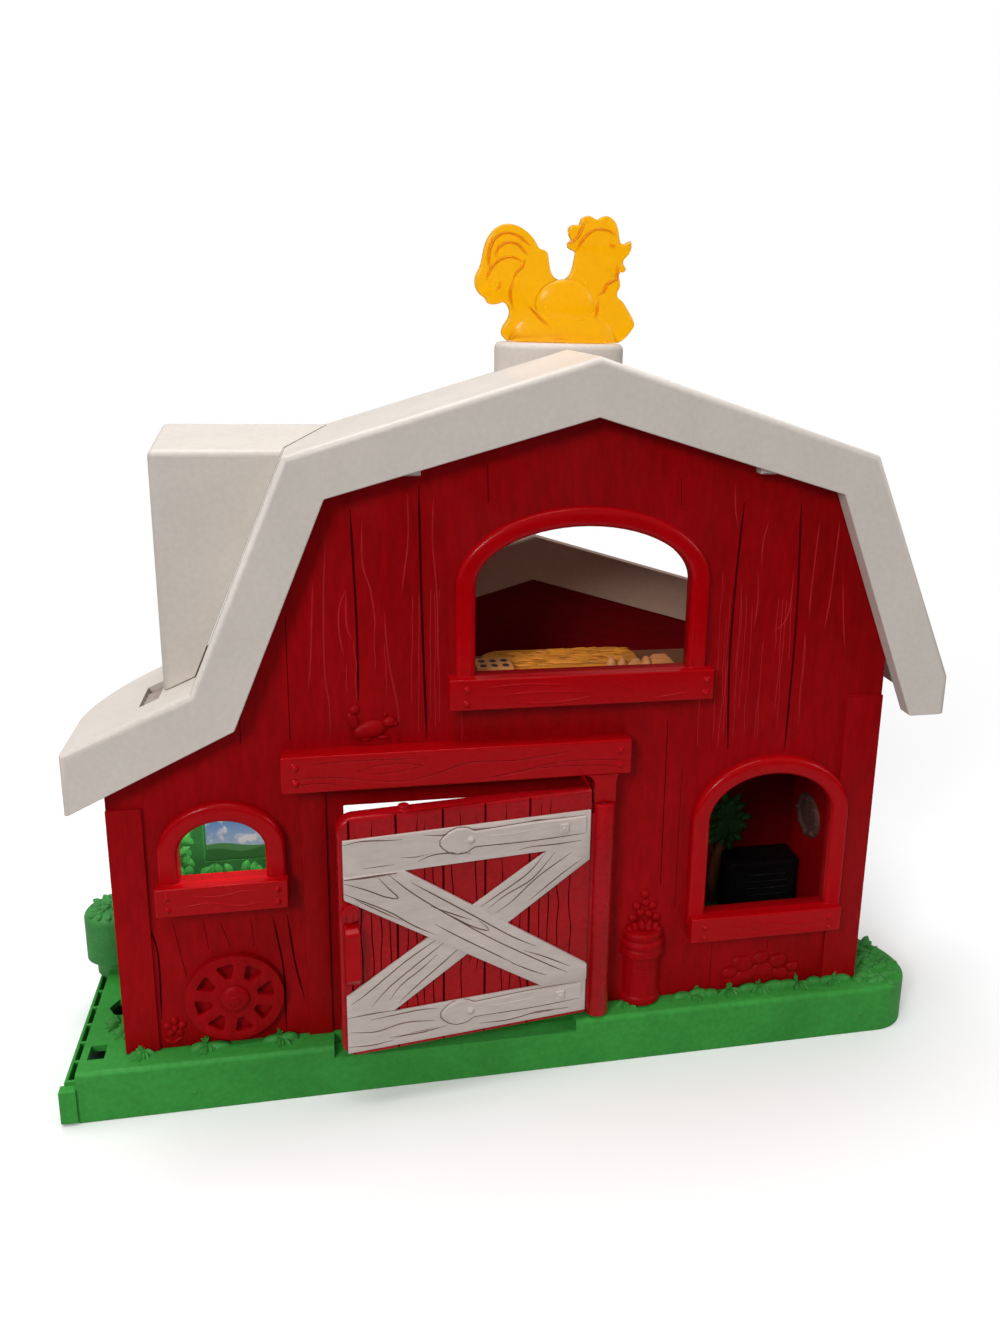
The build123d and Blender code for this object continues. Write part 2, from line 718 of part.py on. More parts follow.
weathercock.part.label = "weathercock"
export_step(weathercock.part, "parts/weathercock.step")

# push-on washer that keeps the spindle in
with BuildPart() as spindle_washer:
    with BuildSketch(plan(BEARING_H - 0.4 - WASHER_T)):
        with Locations((0, VANE_D)):
            Circle(7)
            Circle(SPINDLE_R, mode=Mode.SUBTRACT)
    extrude(amount=WASHER_T)
spindle_washer.part.label = "spindle_washer"
export_step(spindle_washer.part, "parts/spindle_washer.step")

# ---------------------------------------------------------------- loft
with BuildPart() as loft_floor:
    with BuildSketch(plan(LOFT_H - SKIN)):
        bar(-119, WALL_R - WALL_T - FIT, WALL_T + FIT / 2, LOFT_D)
    extrude(amount=SKIN)
    fillet(loft_floor.edges().filter_by(Axis.Z).group_by(Axis.Y)[-1], 8)
    # brackets down the wall
    for x in (-95, 20, 132):
        with BuildSketch(side(x)):
            Polygon(
                (WALL_T + FIT / 2, LOFT_H - 2),
                (LOFT_D - 12, LOFT_H - 2),
                (WALL_T + FIT / 2, LOFT_H - 22),
                align=None,
            )
        extrude(amount=2.5)
loft_floor.part.label = "loft_floor"
export_step(loft_floor.part, "parts/loft_floor.step")

with BuildPart() as hay:
    with BuildSketch(plan(LOFT_H)):
        with Locations((-6, 31)):
            RectangleRounded(74, 27, 11)
    extrude(amount=4.5)
    fillet(hay.faces().sort_by(Axis.Z)[-1].edges(), 2)
hay.part.label = "hay"
export_step(hay.part, "parts/hay.step")

# ---------------------------------------------------------------- door
# drawn shut, then swung ajar about the hinge
with BuildPart() as shut_door:
    with BuildSketch(front(HINGE_D - DOOR_T / 2)):
        with BuildLine():
            FilletPolyline(
                (HINGE_X, DOOR_LO),
                (HINGE_X - DOOR_W, DOOR_LO),
                (HINGE_X - DOOR_W, DOOR_HI),
                (HINGE_X, DOOR_HI),
                radius=7,
            )
            Line((HINGE_X, DOOR_HI), (HINGE_X, DOOR_LO))
        make_face()
    extrude(amount=-DOOR_T)
    fillet(shut_door.edges().group_by(Axis.Y)[0], 1.8)
    # shallow field inside a raised rim, on the back
    with BuildSketch(front(HINGE_D + DOOR_T / 2)):
        bar(HINGE_X - DOOR_W + 4, HINGE_X - 10, DOOR_LO + 4, DOOR_HI - 4)
    extrude(amount=DOOR_T - 3, mode=Mode.SUBTRACT)
    # notch for the bracket above, and the round hinge barrel
    with BuildSketch(plan(DOOR_LO - 5)):
        bar(HINGE_X - BARREL_R - 1.5, HINGE_X + 5, HINGE_D - 8, HINGE_D + 8)
    extrude(amount=DOOR_HI - DOOR_LO + 10, mode=Mode.SUBTRACT)
    with BuildSketch(plan(DOOR_LO - 2)):
        with Locations((HINGE_X, HINGE_D)):
            Circle(BARREL_R)
    extrude(amount=CORBEL_LO - DOOR_LO + 2 - 0.3)
    with BuildSketch(plan(DOOR_LO + 1)):
        bar(HINGE_X - BARREL_R - 3, HINGE_X - 2, HINGE_D - 2.2, HINGE_D + 2.2)
    extrude(amount=CORBEL_LO - DOOR_LO - 6)
    with BuildSketch(plan(DOOR_LO - 5)):
        with Locations((HINGE_X, HINGE_D)):
            Circle(PIN_R + RUN)
    extrude(amount=DOOR_HI, mode=Mode.SUBTRACT)
    # catch bump on top and the pull at the free edge
    with BuildSketch(plan(DOOR_HI - 0.5)):
        with Locations((-82, HINGE_D)):
            Circle(2.4)
    extrude(amount=2.3)
    with BuildSketch(front(HINGE_D - DOOR_T / 2)):
        with Locations((HINGE_X - DOOR_W + 4.5, 74)):
            Circle(4)
    extrude(amount=3)
with BuildPart() as shut_pull:
    with BuildSketch(side(HINGE_X - DOOR_W + 1.5)):
        with BuildLine():
            Polyline(
                (HINGE_D - DOOR_T / 2, 69),
                (HINGE_D - DOOR_T / 2 - 5.5, 66),
                (HINGE_D - DOOR_T / 2 - 5.5, 44),
                (HINGE_D - DOOR_T / 2, 38),
                (HINGE_D - DOOR_T / 2, 42),
                (HINGE_D - DOOR_T / 2 - 3, 46),
                (HINGE_D - DOOR_T / 2 - 3, 64),
                (HINGE_D - DOOR_T / 2, 65),
                close=True,
            )
        make_face()
    extrude(amount=6.5)

# white boards: two rails and a saltire, one face above the other where they cross
with BuildPart() as shut_boards:
    with BuildSketch(front(HINGE_D - DOOR_T / 2)):
        bar(HINGE_X - DOOR_W + 2, HINGE_X - 7.5, DOOR_HI - 9.5 - BOARD_W, DOOR_HI - 9.5)
        bar(HINGE_X - DOOR_W + 2, HINGE_X - 7.5, DOOR_LO + 3, DOOR_LO + 3 + BOARD_W)
        Polygon(
            (HINGE_X - DOOR_W + 2, DOOR_LO + 2 + BOARD_W),
            (HINGE_X - DOOR_W + 20, DOOR_LO + 2 + BOARD_W),
            (HINGE_X - 7.5, DOOR_HI - 8.5 - BOARD_W - 8),
            (HINGE_X - 7.5, DOOR_HI - 8.5 - BOARD_W),
            (HINGE_X - 26, DOOR_HI - 8.5 - BOARD_W),
            (HINGE_X - DOOR_W + 2, DOOR_LO + 2 + BOARD_W + 12),
            align=None,
        )
    extrude(amount=BOARD_T)
    with BuildSketch(front(HINGE_D - DOOR_T / 2)):
        Polygon(
            (HINGE_X - DOOR_W + 2, DOOR_HI - 9 - BOARD_W),
            (HINGE_X - DOOR_W + 27, DOOR_HI - 9 - BOARD_W),
            (HINGE_X - 7.5, DOOR_LO + 2.5 + BOARD_W + 8),
            (HINGE_X - 7.5, DOOR_LO + 2.5 + BOARD_W),
            (HINGE_X - 28, DOOR_LO + 2.5 + BOARD_W),
            (HINGE_X - DOOR_W + 2, DOOR_HI - 9 - BOARD_W - 10),
            align=None,
        )
    extrude(amount=BOARD_T + 0.8)

HINGE_AXIS = Axis((RIDGE_X + HINGE_X, FACE_Y + HINGE_D, BASE_H), (0, 0, 1))
with BuildPart() as door:
    add(shut_door.part.rotate(HINGE_AXIS, DOOR_AJAR))
door.part.label = "door"
export_step(door.part, "parts/door.step")

with BuildPart() as door_pull:
    add(shut_pull.part.rotate(HINGE_AXIS, DOOR_AJAR))
door_pull.part.label = "door_pull"
export_step(door_pull.part, "parts/door_pull.step")

with BuildPart() as door_boards:
    add(shut_boards.part.rotate(HINGE_AXIS, DOOR_AJAR))
door_boards.part.label = "door_boards"
export_step(door_boards.part, "parts/door_boards.step")

with BuildPart() as hinge_pin:
    with BuildSketch(plan(-2.5)):
        with Locations((HINGE_X, HINGE_D)):
            Circle(PIN_R)
    extrude(amount=CORBEL_LO + 10 + 2.5)
hinge_pin.part.label = "hinge_pin"
export_step(hinge_pin.part, "parts/hinge_pin.step")

# ---------------------------------------------------------------- base
# underside cavity: deep everywhere, shallow under the door's recess
with BuildPart() as base_core:
    with BuildSketch(plan(-BASE_H)):
        base_outline(BASE_SKIN)
    extrude(amount=BASE_H - BASE_SKIN)
    with BuildSketch(plan(-9.5)):
        bar(-119, 18, BASE_F, 2)
    extrude(amount=10, mode=Mode.SUBTRACT)
    # cell box walls, ribs and screw posts stay standing
    with BuildSketch(plan(-BASE_H + BASE_RIM)):
        bar(CELL_X - BAY_X - BAY_T, CELL_X + BAY_X + BAY_T, CELL_D - BAY_D - BAY_T, CELL_D + BAY_D + BAY_T)
        bar(CELL_X - BAY_X, CELL_X + BAY_X, CELL_D - BAY_D, CELL_D + BAY_D, Mode.SUBTRACT)
        for x in (-170, -120, -70, -20, 30, 140):
            bar(x - 1, x + 1, BASE_F, BASE_B)
        bar(BASE_L, CELL_X - BAY_X - BAY_T, 50, 52)
        with Locations(*SCREWS):
            Circle(BOSS_R)
        with Locations((HINGE_X, HINGE_D)):
            Circle(BOSS_R)
    extrude(amount=BASE_H, mode=Mode.SUBTRACT)
    with BuildSketch(plan(-BASE_H + 0.8 + COVER_T)):
        with Locations(COVER_SCREW):
            Circle(2.5)
    extrude(amount=BASE_H, mode=Mode.SUBTRACT)

with BuildPart() as base:
    with BuildSketch(plan(-BASE_H)):
        base_outline(0)
    extrude(amount=BASE_H)
    fillet(base.faces().sort_by(Axis.Z)[-1].edges().filter_by(Axis.Y, reverse=True), 2.2)
    # recess that the door's foot swings through
    with BuildSketch(plan(0)):
        bar(-113, HINGE_X - 10.5, BASE_F - 1, -1.5)
    extrude(amount=-5.5, mode=Mode.SUBTRACT)
    add(base_core.part, mode=Mode.SUBTRACT)
    # pockets by the left edge, screw holes and the socket of the hinge pin
    with BuildSketch(plan(-5)):
        bar(-218, -211, -2.5, 7)
        with Locations((-208.5, 34)):
            RegularPolygon(7, 6)
    extrude(amount=10, mode=Mode.SUBTRACT)
    with BuildSketch(plan(-BASE_H)):
        with Locations(*SCREWS):
            Circle(SCREW_R)
    extrude(amount=BASE_H, mode=Mode.SUBTRACT)
    with BuildSketch(plan(-BASE_H)):
        with Locations(COVER_SCREW):
            Circle(COVER_SCREW_R)
    extrude(amount=BASE_H - 4, mode=Mode.SUBTRACT)
    with BuildSketch(plan(-2.5)):
        with Locations((HINGE_X, HINGE_D)):
            Circle(PIN_R)
    extrude(amount=5, mode=Mode.SUBTRACT)
base.part.label = "base"
export_step(base.part, "parts/base.step")

# ribbed joining rail along the left edge
with BuildPart() as side_rail:
    with BuildSketch(plan(-BASE_H + 1)):
        bar(BASE_L - RAIL_W, BASE_L - 0.05, BASE_F + 3, RAIL_B)
    extrude(amount=BASE_H - 1 + RAIL_TOP)
    with BuildSketch(plan(-BASE_H + 3)):
        for step in range(7):
            bar(BASE_L - RAIL_W + 1.5, BASE_L - 1.5, BASE_F + 4.5 + 13 * step, BASE_F + 16 + 13 * step)
    extrude(amount=BASE_H, mode=Mode.SUBTRACT)
    with BuildSketch(plan(-BASE_H + 1)):
        bar(BASE_L - RAIL_W - 1.7, BASE_L - 0.05, BASE_F - 1, BASE_F + 3.5)
    extrude(amount=BASE_H - 3 + RAIL_TOP)
side_rail.part.label = "side_rail"
export_step(side_rail.part, "parts/side_rail.step")

with BuildPart() as base_screws:
    with BuildSketch(plan(-BASE_H + 3)):
        with Locations(*SCREWS):
            Circle(SCREW_R)
    extrude(amount=BASE_H - 3 + 12)
base_screws.part.label = "base_screws"
export_step(base_screws.part, "parts/base_screws.step")

# ---------------------------------------------------------------- hedge at the back of the stall
with BuildPart() as hedge:
    # bush outside the corner: a stem under rounded foliage
    for x, d, radius in BUSH_LUMPS:
        trunk = Plane(
            origin=(RIDGE_X + x, FACE_Y + d, BASE_H + BUSH_H),
            x_dir=(1, 0, 0),
            z_dir=(0, -1, 0),
        )
        with BuildSketch(trunk):
            with BuildLine():
                Polyline((radius - 4, 0), (0, 0), (0, -25), (radius, -25), (radius, -4))
                ThreePointArc((radius, -4), (radius - 1.2, -1.2), (radius - 4, 0))
            make_face()
        revolve(axis=Axis(trunk.origin, (0, 0, 1)))
    with BuildSketch(plan(RAIL_TOP + 0.5)):
        with Locations((-218, ROOM_D - 3.5)):
            Circle(10.5)
    extrude(amount=BUSH_H - 20 - RAIL_TOP)
    with BuildSketch(plan(RAIL_TOP)):
        bar(BASE_L - FIT, WALL_L + 7, BASE_B - 34, BASE_B)
    extrude(amount=-RAIL_TOP, mode=Mode.SUBTRACT)
    with BuildSketch(front(ROOM_D)):
        with BuildLine():
            Polyline((WALL_L + WALL_T, 84), (WALL_L + WALL_T, 0), (BACK_L - FIT, 0), (BACK_L - FIT, 92))
            ThreePointArc((BACK_L - FIT, 92), (-144, 97), (-156, 91))
            ThreePointArc((-156, 91), (-167, 97), (-178, 90))
            ThreePointArc((-178, 90), (-189, 94), (WALL_L + WALL_T, 84))
        make_face()
    extrude(amount=-WALL_T)
    with BuildSketch(side(WALL_L)):
        with BuildLine():
            Polyline((LEFT_D + FIT, 62), (LEFT_D + FIT, 0), (ROOM_D + WALL_T, 0), (ROOM_D + WALL_T, 84))
            ThreePointArc((ROOM_D + WALL_T, 84), (ROOM_D - 13.5, 80), (LEFT_D + FIT, 62))
        make_face()
    extrude(amount=WALL_T)
    with BuildSketch(plan(0)):
        with Locations(HEDGE_BOSS):
            Circle(BOSS_R)
        bar(HEDGE_BOSS[0] - 2, HEDGE_BOSS[0] + 2, HEDGE_BOSS[1], ROOM_D + 1)
    extrude(amount=BOSS_H)
    with BuildSketch(plan(0)):
        with Locations(HEDGE_BOSS):
            Circle(SCREW_R)
    extrude(amount=BOSS_H - 3, mode=Mode.SUBTRACT)
hedge.part.label = "hedge"
export_step(hedge.part, "parts/hedge.step")

with BuildPart() as stall_picture:
    with BuildSketch(front(ROOM_D - 0.5)):
        with Locations((-159.5, 60)):
            RectangleRounded(29, 23, 2)
    extrude(amount=-0.45)
stall_picture.part.label = "stall_picture"
export_step(stall_picture.part, "parts/stall_picture.step")

# ---------------------------------------------------------------- sound box
with BuildPart() as sound_box:
    with BuildSketch(plan(0)):
        bar(BOX_L, BOX_R, BOX_D, ROOM_D - FIT)
    extrude(amount=BOX_H)
    fillet(sound_box.edges().filter_by(Axis.Z).group_by(Axis.Y)[0], 4)
    fillet(sound_box.faces().sort_by(Axis.Z)[-1].edges().group_by(Axis.Y)[0], 1.5)
    with BuildSketch(plan(0)):
        bar(BOX_L + 2, BOX_R - 2, BOX_D + 2, ROOM_D - FIT - 2)
    extrude(amount=BOX_H - 2, mode=Mode.SUBTRACT)
    with BuildSketch(front(BOX_D)):
        bar(BOX_L + 7, BOX_R - 4, 3, BOX_H - 4)
    extrude(amount=-3, mode=Mode.SUBTRACT)
sound_box.part.label = "sound_box"
export_step(sound_box.part, "parts/sound_box.step")

with BuildPart() as speaker_grille:
    with BuildSketch(front(BOX_D + 0.2)):
        bar(BOX_L + 7, BOX_R - 4, 3, BOX_H - 4)
        with GridLocations(0, 4, 1, 5):
            with Locations(((BOX_L + BOX_R + 3) / 2, 17)):
                Rectangle(24, 1.6, mode=Mode.SUBTRACT)
    extrude(amount=-1.6)
speaker_grille.part.label = "speaker_grille"
export_step(speaker_grille.part, "parts/speaker_grille.step")

with BuildPart() as speaker:
    with BuildSketch(front(BOX_D + 2.2)):
        with Locations(((BOX_L + BOX_R + 3) / 2, 17)):
            Circle(13.5)
            Circle(5, mode=Mode.SUBTRACT)
    extrude(amount=-2)
    with BuildSketch(front(BOX_D + 4.2)):
        with Locations(((BOX_L + BOX_R + 3) / 2, 17)):
            Circle(9)
    extrude(amount=-6)
speaker.part.label = "speaker"
export_step(speaker.part, "parts/speaker.step")

with BuildPart() as circuit_board:
    with BuildSketch(front(BOX_D + 12)):
        bar(BOX_L + 3, BOX_R - 3, 0.5, 30)
    extrude(amount=-1.6)
    with BuildSketch(front(BOX_D + 12)):
        with Locations((BOX_L + 11, 20)):
            Circle(4)
        bar(BOX_R - 16, BOX_R - 6, 8, 14)
    extrude(amount=1)
circuit_board.part.label = "circuit_board"
export_step(circuit_board.part, "parts/circuit_board.step")

# ---------------------------------------------------------------- cells under the base
with BuildPart() as cells:
    for row in (-1, 0, 1):
        with BuildSketch(side(CELL_X - CELL_L / 2)):
            with Locations((CELL_D + CELL_PITCH * row, CELL_H)):
                Circle(CELL_R)
        extrude(amount=CELL_L - 1)
        with BuildSketch(side(CELL_X + CELL_L / 2 - 1)):
            with Locations((CELL_D + CELL_PITCH * row, CELL_H)):
                Circle(2.7)
        extrude(amount=1)
cells.part.label = "cells"
export_step(cells.part, "parts/cells.step")

with BuildPart() as cell_contacts:
    for row in (-1, 0, 1):
        with BuildSketch(side(CELL_X + CELL_L / 2 + 0.2)):
            with Locations((CELL_D + CELL_PITCH * row, CELL_H)):
                Rectangle(10, 10)
        extrude(amount=0.5)
        with BuildSketch(side(CELL_X - CELL_L / 2 - 5.2)):
            with Locations((CELL_D + CELL_PITCH * row, CELL_H)):
                Circle(4)
                Circle(2.8, mode=Mode.SUBTRACT)
        extrude(amount=5)
cell_contacts.part.label = "cell_contacts"
export_step(cell_contacts.part, "parts/cell_contacts.step")

with BuildPart() as cell_cover:
    with BuildSketch(plan(-BASE_H + 0.6)):
        bar(CELL_X - BAY_X + FIT, CELL_X + BAY_X - FIT, CELL_D - BAY_D + FIT, CELL_D + BAY_D - FIT)
        with Locations(COVER_SCREW):
            Circle(COVER_SCREW_R, mode=Mode.SUBTRACT)
    extrude(amount=COVER_T)
cell_cover.part.label = "cell_cover"
export_step(cell_cover.part, "parts/cell_cover.step")

with BuildPart() as cover_screw:
    with BuildSketch(plan(-BASE_H + 1)):
        with Locations(COVER_SCREW):
            Circle(COVER_SCREW_R)
    extrude(amount=9)
cover_screw.part.label = "cover_screw"
export_step(cover_screw.part, "parts/cover_screw.step")
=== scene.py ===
# %% [markdown]
# # A toy barn in moulded plastic
# The real toy is a handful of coloured mouldings that snap together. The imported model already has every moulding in
# its place, so this lesson loads it as a fixed frame, and then gives each piece the surface and the small relief that
# a toolmaker cuts into the mould.

# %% Load the frame
import math
import random

import bmesh
import bpy
from mathutils import Matrix, Vector


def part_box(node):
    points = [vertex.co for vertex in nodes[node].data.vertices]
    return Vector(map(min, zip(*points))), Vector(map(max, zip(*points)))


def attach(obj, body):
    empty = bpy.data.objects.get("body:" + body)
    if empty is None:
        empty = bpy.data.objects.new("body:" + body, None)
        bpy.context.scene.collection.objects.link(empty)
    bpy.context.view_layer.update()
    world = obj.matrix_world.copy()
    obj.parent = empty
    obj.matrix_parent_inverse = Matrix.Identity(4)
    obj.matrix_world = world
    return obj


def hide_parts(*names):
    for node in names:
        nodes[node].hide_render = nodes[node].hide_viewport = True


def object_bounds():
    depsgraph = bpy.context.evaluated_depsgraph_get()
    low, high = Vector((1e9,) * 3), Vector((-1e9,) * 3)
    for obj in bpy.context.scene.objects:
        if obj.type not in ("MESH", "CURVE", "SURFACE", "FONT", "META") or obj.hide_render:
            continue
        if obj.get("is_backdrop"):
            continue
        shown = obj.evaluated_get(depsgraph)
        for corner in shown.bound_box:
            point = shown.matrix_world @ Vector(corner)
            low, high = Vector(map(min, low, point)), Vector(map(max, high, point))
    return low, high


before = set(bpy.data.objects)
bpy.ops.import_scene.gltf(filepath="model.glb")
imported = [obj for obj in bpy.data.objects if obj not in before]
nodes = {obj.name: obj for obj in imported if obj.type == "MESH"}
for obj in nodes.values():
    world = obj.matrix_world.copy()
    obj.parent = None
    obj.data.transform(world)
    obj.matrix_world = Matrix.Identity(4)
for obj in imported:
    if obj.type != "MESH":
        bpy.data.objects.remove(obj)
cad_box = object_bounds()
MM = 0.001

# %% [markdown]
# Every relief is placed from three easy references: x from the ridge of the roof, d back from the front of the front
# wall, and h up from the top of the base, all in millimetres. The right wall gives all three, because its outer face,
# its front edge and its foot are known. `spot` turns such a place into metres in the frame.

# %% The barn's own references
WALL_R = 142.0
WALL_T = 3.0
ROOM_D = 79.5
wall_low, wall_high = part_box("right_wall")
RIDGE = Vector((wall_high.x - WALL_R * MM, wall_low.y - WALL_T * MM, wall_low.z))


def spot(x, d, h):
    """A place on the barn: x from the ridge, d back from the wall's face, h above the base's top, in mm."""
    return RIDGE + Vector((x, d, h)) * MM


print("ridge foot at", [round(v, 4) for v in RIDGE])

# %% [markdown]
# The camera stands where the photographer stood: in front of the barn, a little to its left and above it, tipped down
# and slightly rolled. A pinhole fitted to the barn's straight edges gives its place, its three directions and its
# lens. The tiny shift only centres the picture as the photograph is framed.

# %% Camera
EYE = (-103.43, -440.65, 319.94)
YAW, TILT, ROLL = -12.157, -14.714, 1.623
FOCAL_PX, HIGH_PX, WIDE_PX = 1088.85, 1333, 1000
CENTRE_PX = (570.0, 596.5)
SENSOR = 36.0

camera_data = bpy.data.cameras.new("barn_camera")
camera = bpy.data.objects.new("barn_camera", camera_data)
bpy.context.scene.collection.objects.link(camera)
bpy.context.scene.camera = camera
camera_data.sensor_width = SENSOR
camera_data.lens = FOCAL_PX / HIGH_PX * SENSOR
camera_data.shift_x = -(CENTRE_PX[0] - WIDE_PX / 2) / HIGH_PX
camera_data.shift_y = (CENTRE_PX[1] - HIGH_PX / 2) / HIGH_PX
turn = Matrix.Rotation(math.radians(YAW), 4, "Z")
turn = Matrix.Rotation(math.radians(ROLL), 4, "Y") @ Matrix.Rotation(math.radians(TILT), 4, "X") @ turn
camera.matrix_world = Matrix.Translation(spot(*EYE)) @ turn @ Matrix.Rotation(math.radians(90), 4, "X")
print("lens", round(camera_data.lens, 2), "shift", round(camera_data.shift_x, 4), round(camera_data.shift_y, 4))

# %% [markdown]
# Materials are built from shader nodes: small steps that are wired together. Three helpers save most of the typing.
# `new_material` starts a material, `add_node` puts a step into it, and `set_inputs` either sets a step's input to a
# value or, where the value is another step's output, wires the two together.

# %% Helpers for nodes
def set_inputs(tree, node, inputs):
    """Set each input of the node, or wire it where the value is another node's output."""
    for socket, value in inputs.items():
        if isinstance(value, bpy.types.NodeSocket):
            tree.links.new(value, node.inputs[socket])
        else:
            node.inputs[socket].default_value = value


def add_node(tree, kind, inputs=None, **settings):
    """A new shader node of this kind, with its settings made and its inputs set."""
    node = tree.nodes.new("ShaderNode" + kind)
    for name, value in settings.items():
        setattr(node, name, value)
    set_inputs(tree, node, inputs or {})
    return node


def new_material(name):
    """A new material, its node tree and its Principled shader."""
    material = bpy.data.materials.new(name)
    material.use_nodes = True
    tree = material.node_tree
    return material, tree, tree.nodes["Principled BSDF"]


print("helpers:", [tool.__name__ for tool in (set_inputs, add_node, new_material)])

# %% [markdown]
# The toy stands on white paper, as a product is photographed. Where the camera sees the paper it is nearly white and
# fades into plain white further out. As a source of light it is dimmer, so that it does not brighten the undersides.

# %% Paper
FLOOR_COLOUR = (0.93, 0.93, 0.93, 1.0)
PAPER_SIZE, PAPER_H = 14.0, -0.0002
PAPER_GLOW = 0.52
WHITE_FROM, WHITE_TO = 0.35, 0.85


def camera_sees(tree):
    """1 for a ray that comes from the camera, straight or through clear plastic, and 0 for the others."""
    ray = add_node(tree, "LightPath").outputs
    either = {0: ray["Is Camera Ray"], 1: ray["Is Transmission Ray"]}
    return add_node(tree, "Math", either, operation="MAXIMUM").outputs["Value"]


def studio_floor():
    """One large sheet of white paper under the toy."""
    bpy.ops.mesh.primitive_plane_add(size=PAPER_SIZE, location=(0, 0, PAPER_H))
    floor = bpy.context.object
    floor.name = "studio_floor"
    paint, tree, shader = new_material("floor_paper")
    straight = add_node(tree, "LightPath").outputs["Is Camera Ray"]
    dimmed = tuple(c * PAPER_GLOW for c in FLOOR_COLOUR[:3]) + (1.0,)
    choose = add_node(tree, "Mix", {"Factor": straight, "A": dimmed, "B": FLOOR_COLOUR}, data_type="RGBA")
    set_inputs(tree, shader, {"Base Color": choose.outputs["Result"], "Roughness": 0.95, "Specular IOR Level": 0.1})
    # far from the toy the paper turns into plain white, as a backdrop that curves up does
    place = add_node(tree, "TexCoord").outputs["Object"]
    far = add_node(tree, "VectorMath", {0: place}, operation="LENGTH").outputs["Value"]
    fade = add_node(tree, "MapRange", {"Value": far, "From Min": WHITE_FROM, "From Max": WHITE_TO},
                    interpolation_type="SMOOTHSTEP")
    plain = add_node(tree, "Emission", {"Strength": camera_sees(tree)})
    both = add_node(tree, "MixShader", {0: fade.outputs["Result"], 1: shader.outputs[0], 2: plain.outputs[0]})
    set_inputs(tree, tree.nodes["Material Output"], {"Surface": both.outputs[0]})
    floor.data.materials.append(paint)
    floor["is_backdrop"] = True
    print("paper", PAPER_SIZE, "m wide")


studio_floor()

# %% [markdown]
# One large soft lamp hangs overhead: the tops of the mouldings come out bright and their fronts about half as bright.
# A second lamp in front on the left lights the red wall and gives the glossy frames their highlights, and a weak one
# on the right fills the shade. The world is white where the camera sees it, and dimmer as a source of light, so that
# the corners under the roof stay dark. The small stall is bright in the photograph, perhaps from daylight through the
# thin roof, and a very weak lamp inside it stands for that.

# %% Lamps and world
WORLD_DIM = 0.32
LAMPS = (  # name, place, aim, size in metres, power in watts
    ("lamp_top", (-0.25, 0.1, 2.0), (0, 0, 0.1), 1.5, 33),
    ("lamp_front", (-1.3, -1.9, 1.5), (0, 0, 0.15), 0.8, 31),
    ("lamp_right", (1.8, -0.9, 1.0), (0, 0, 0.15), 0.6, 6),
    ("lamp_stall", spot(-157, 10, 121), spot(-162, 79, 58), 0.016, 0.055),
)


def soft_lamp(name, place, aim, size, power):
    """A square area lamp at place, turned to aim."""
    data = bpy.data.lights.new(name, "AREA")
    data.size = size
    data.energy = power
    lamp = bpy.data.objects.new(name, data)
    bpy.context.scene.collection.objects.link(lamp)
    lamp.location = place
    lamp.rotation_euler = (Vector(aim) - Vector(place)).to_track_quat("-Z", "Y").to_euler()


for lamp in LAMPS:
    soft_lamp(*lamp)
world = bpy.data.worlds.new("studio")
bpy.context.scene.world = world
world.use_nodes = True
sky = world.node_tree
level = add_node(sky, "MapRange", {"Value": camera_sees(sky), "To Min": WORLD_DIM, "To Max": 1.0})
set_inputs(sky, sky.nodes["Background"], {"Strength": level.outputs["Result"], "Color": (1, 1, 1, 1)})
bpy.context.scene.view_settings.view_transform = "Standard"

# %% [markdown]
# Nearly all of the toy is moulded plastic. Its colour is never quite even: the pigment drifts in soft clouds, and use
# leaves the surface a shade lighter or darker in small flecks. `moulding` builds that from noise in object
# coordinates, so the pattern stays on the piece as it moves. A fine leather-like texture in the mould is a bump, and
# `stretch` draws all of it out along one direction where the mould was cut to look like wood.

# %% A material for moulded plastic
def colour(red, green, blue, gain=1.0):
    """A colour with its alpha, from linear values."""
    return (red * gain, green * gain, blue * gain, 1.0)


TEXTURE, TEXTURE_DEPTH = 1100.0, 0.0006


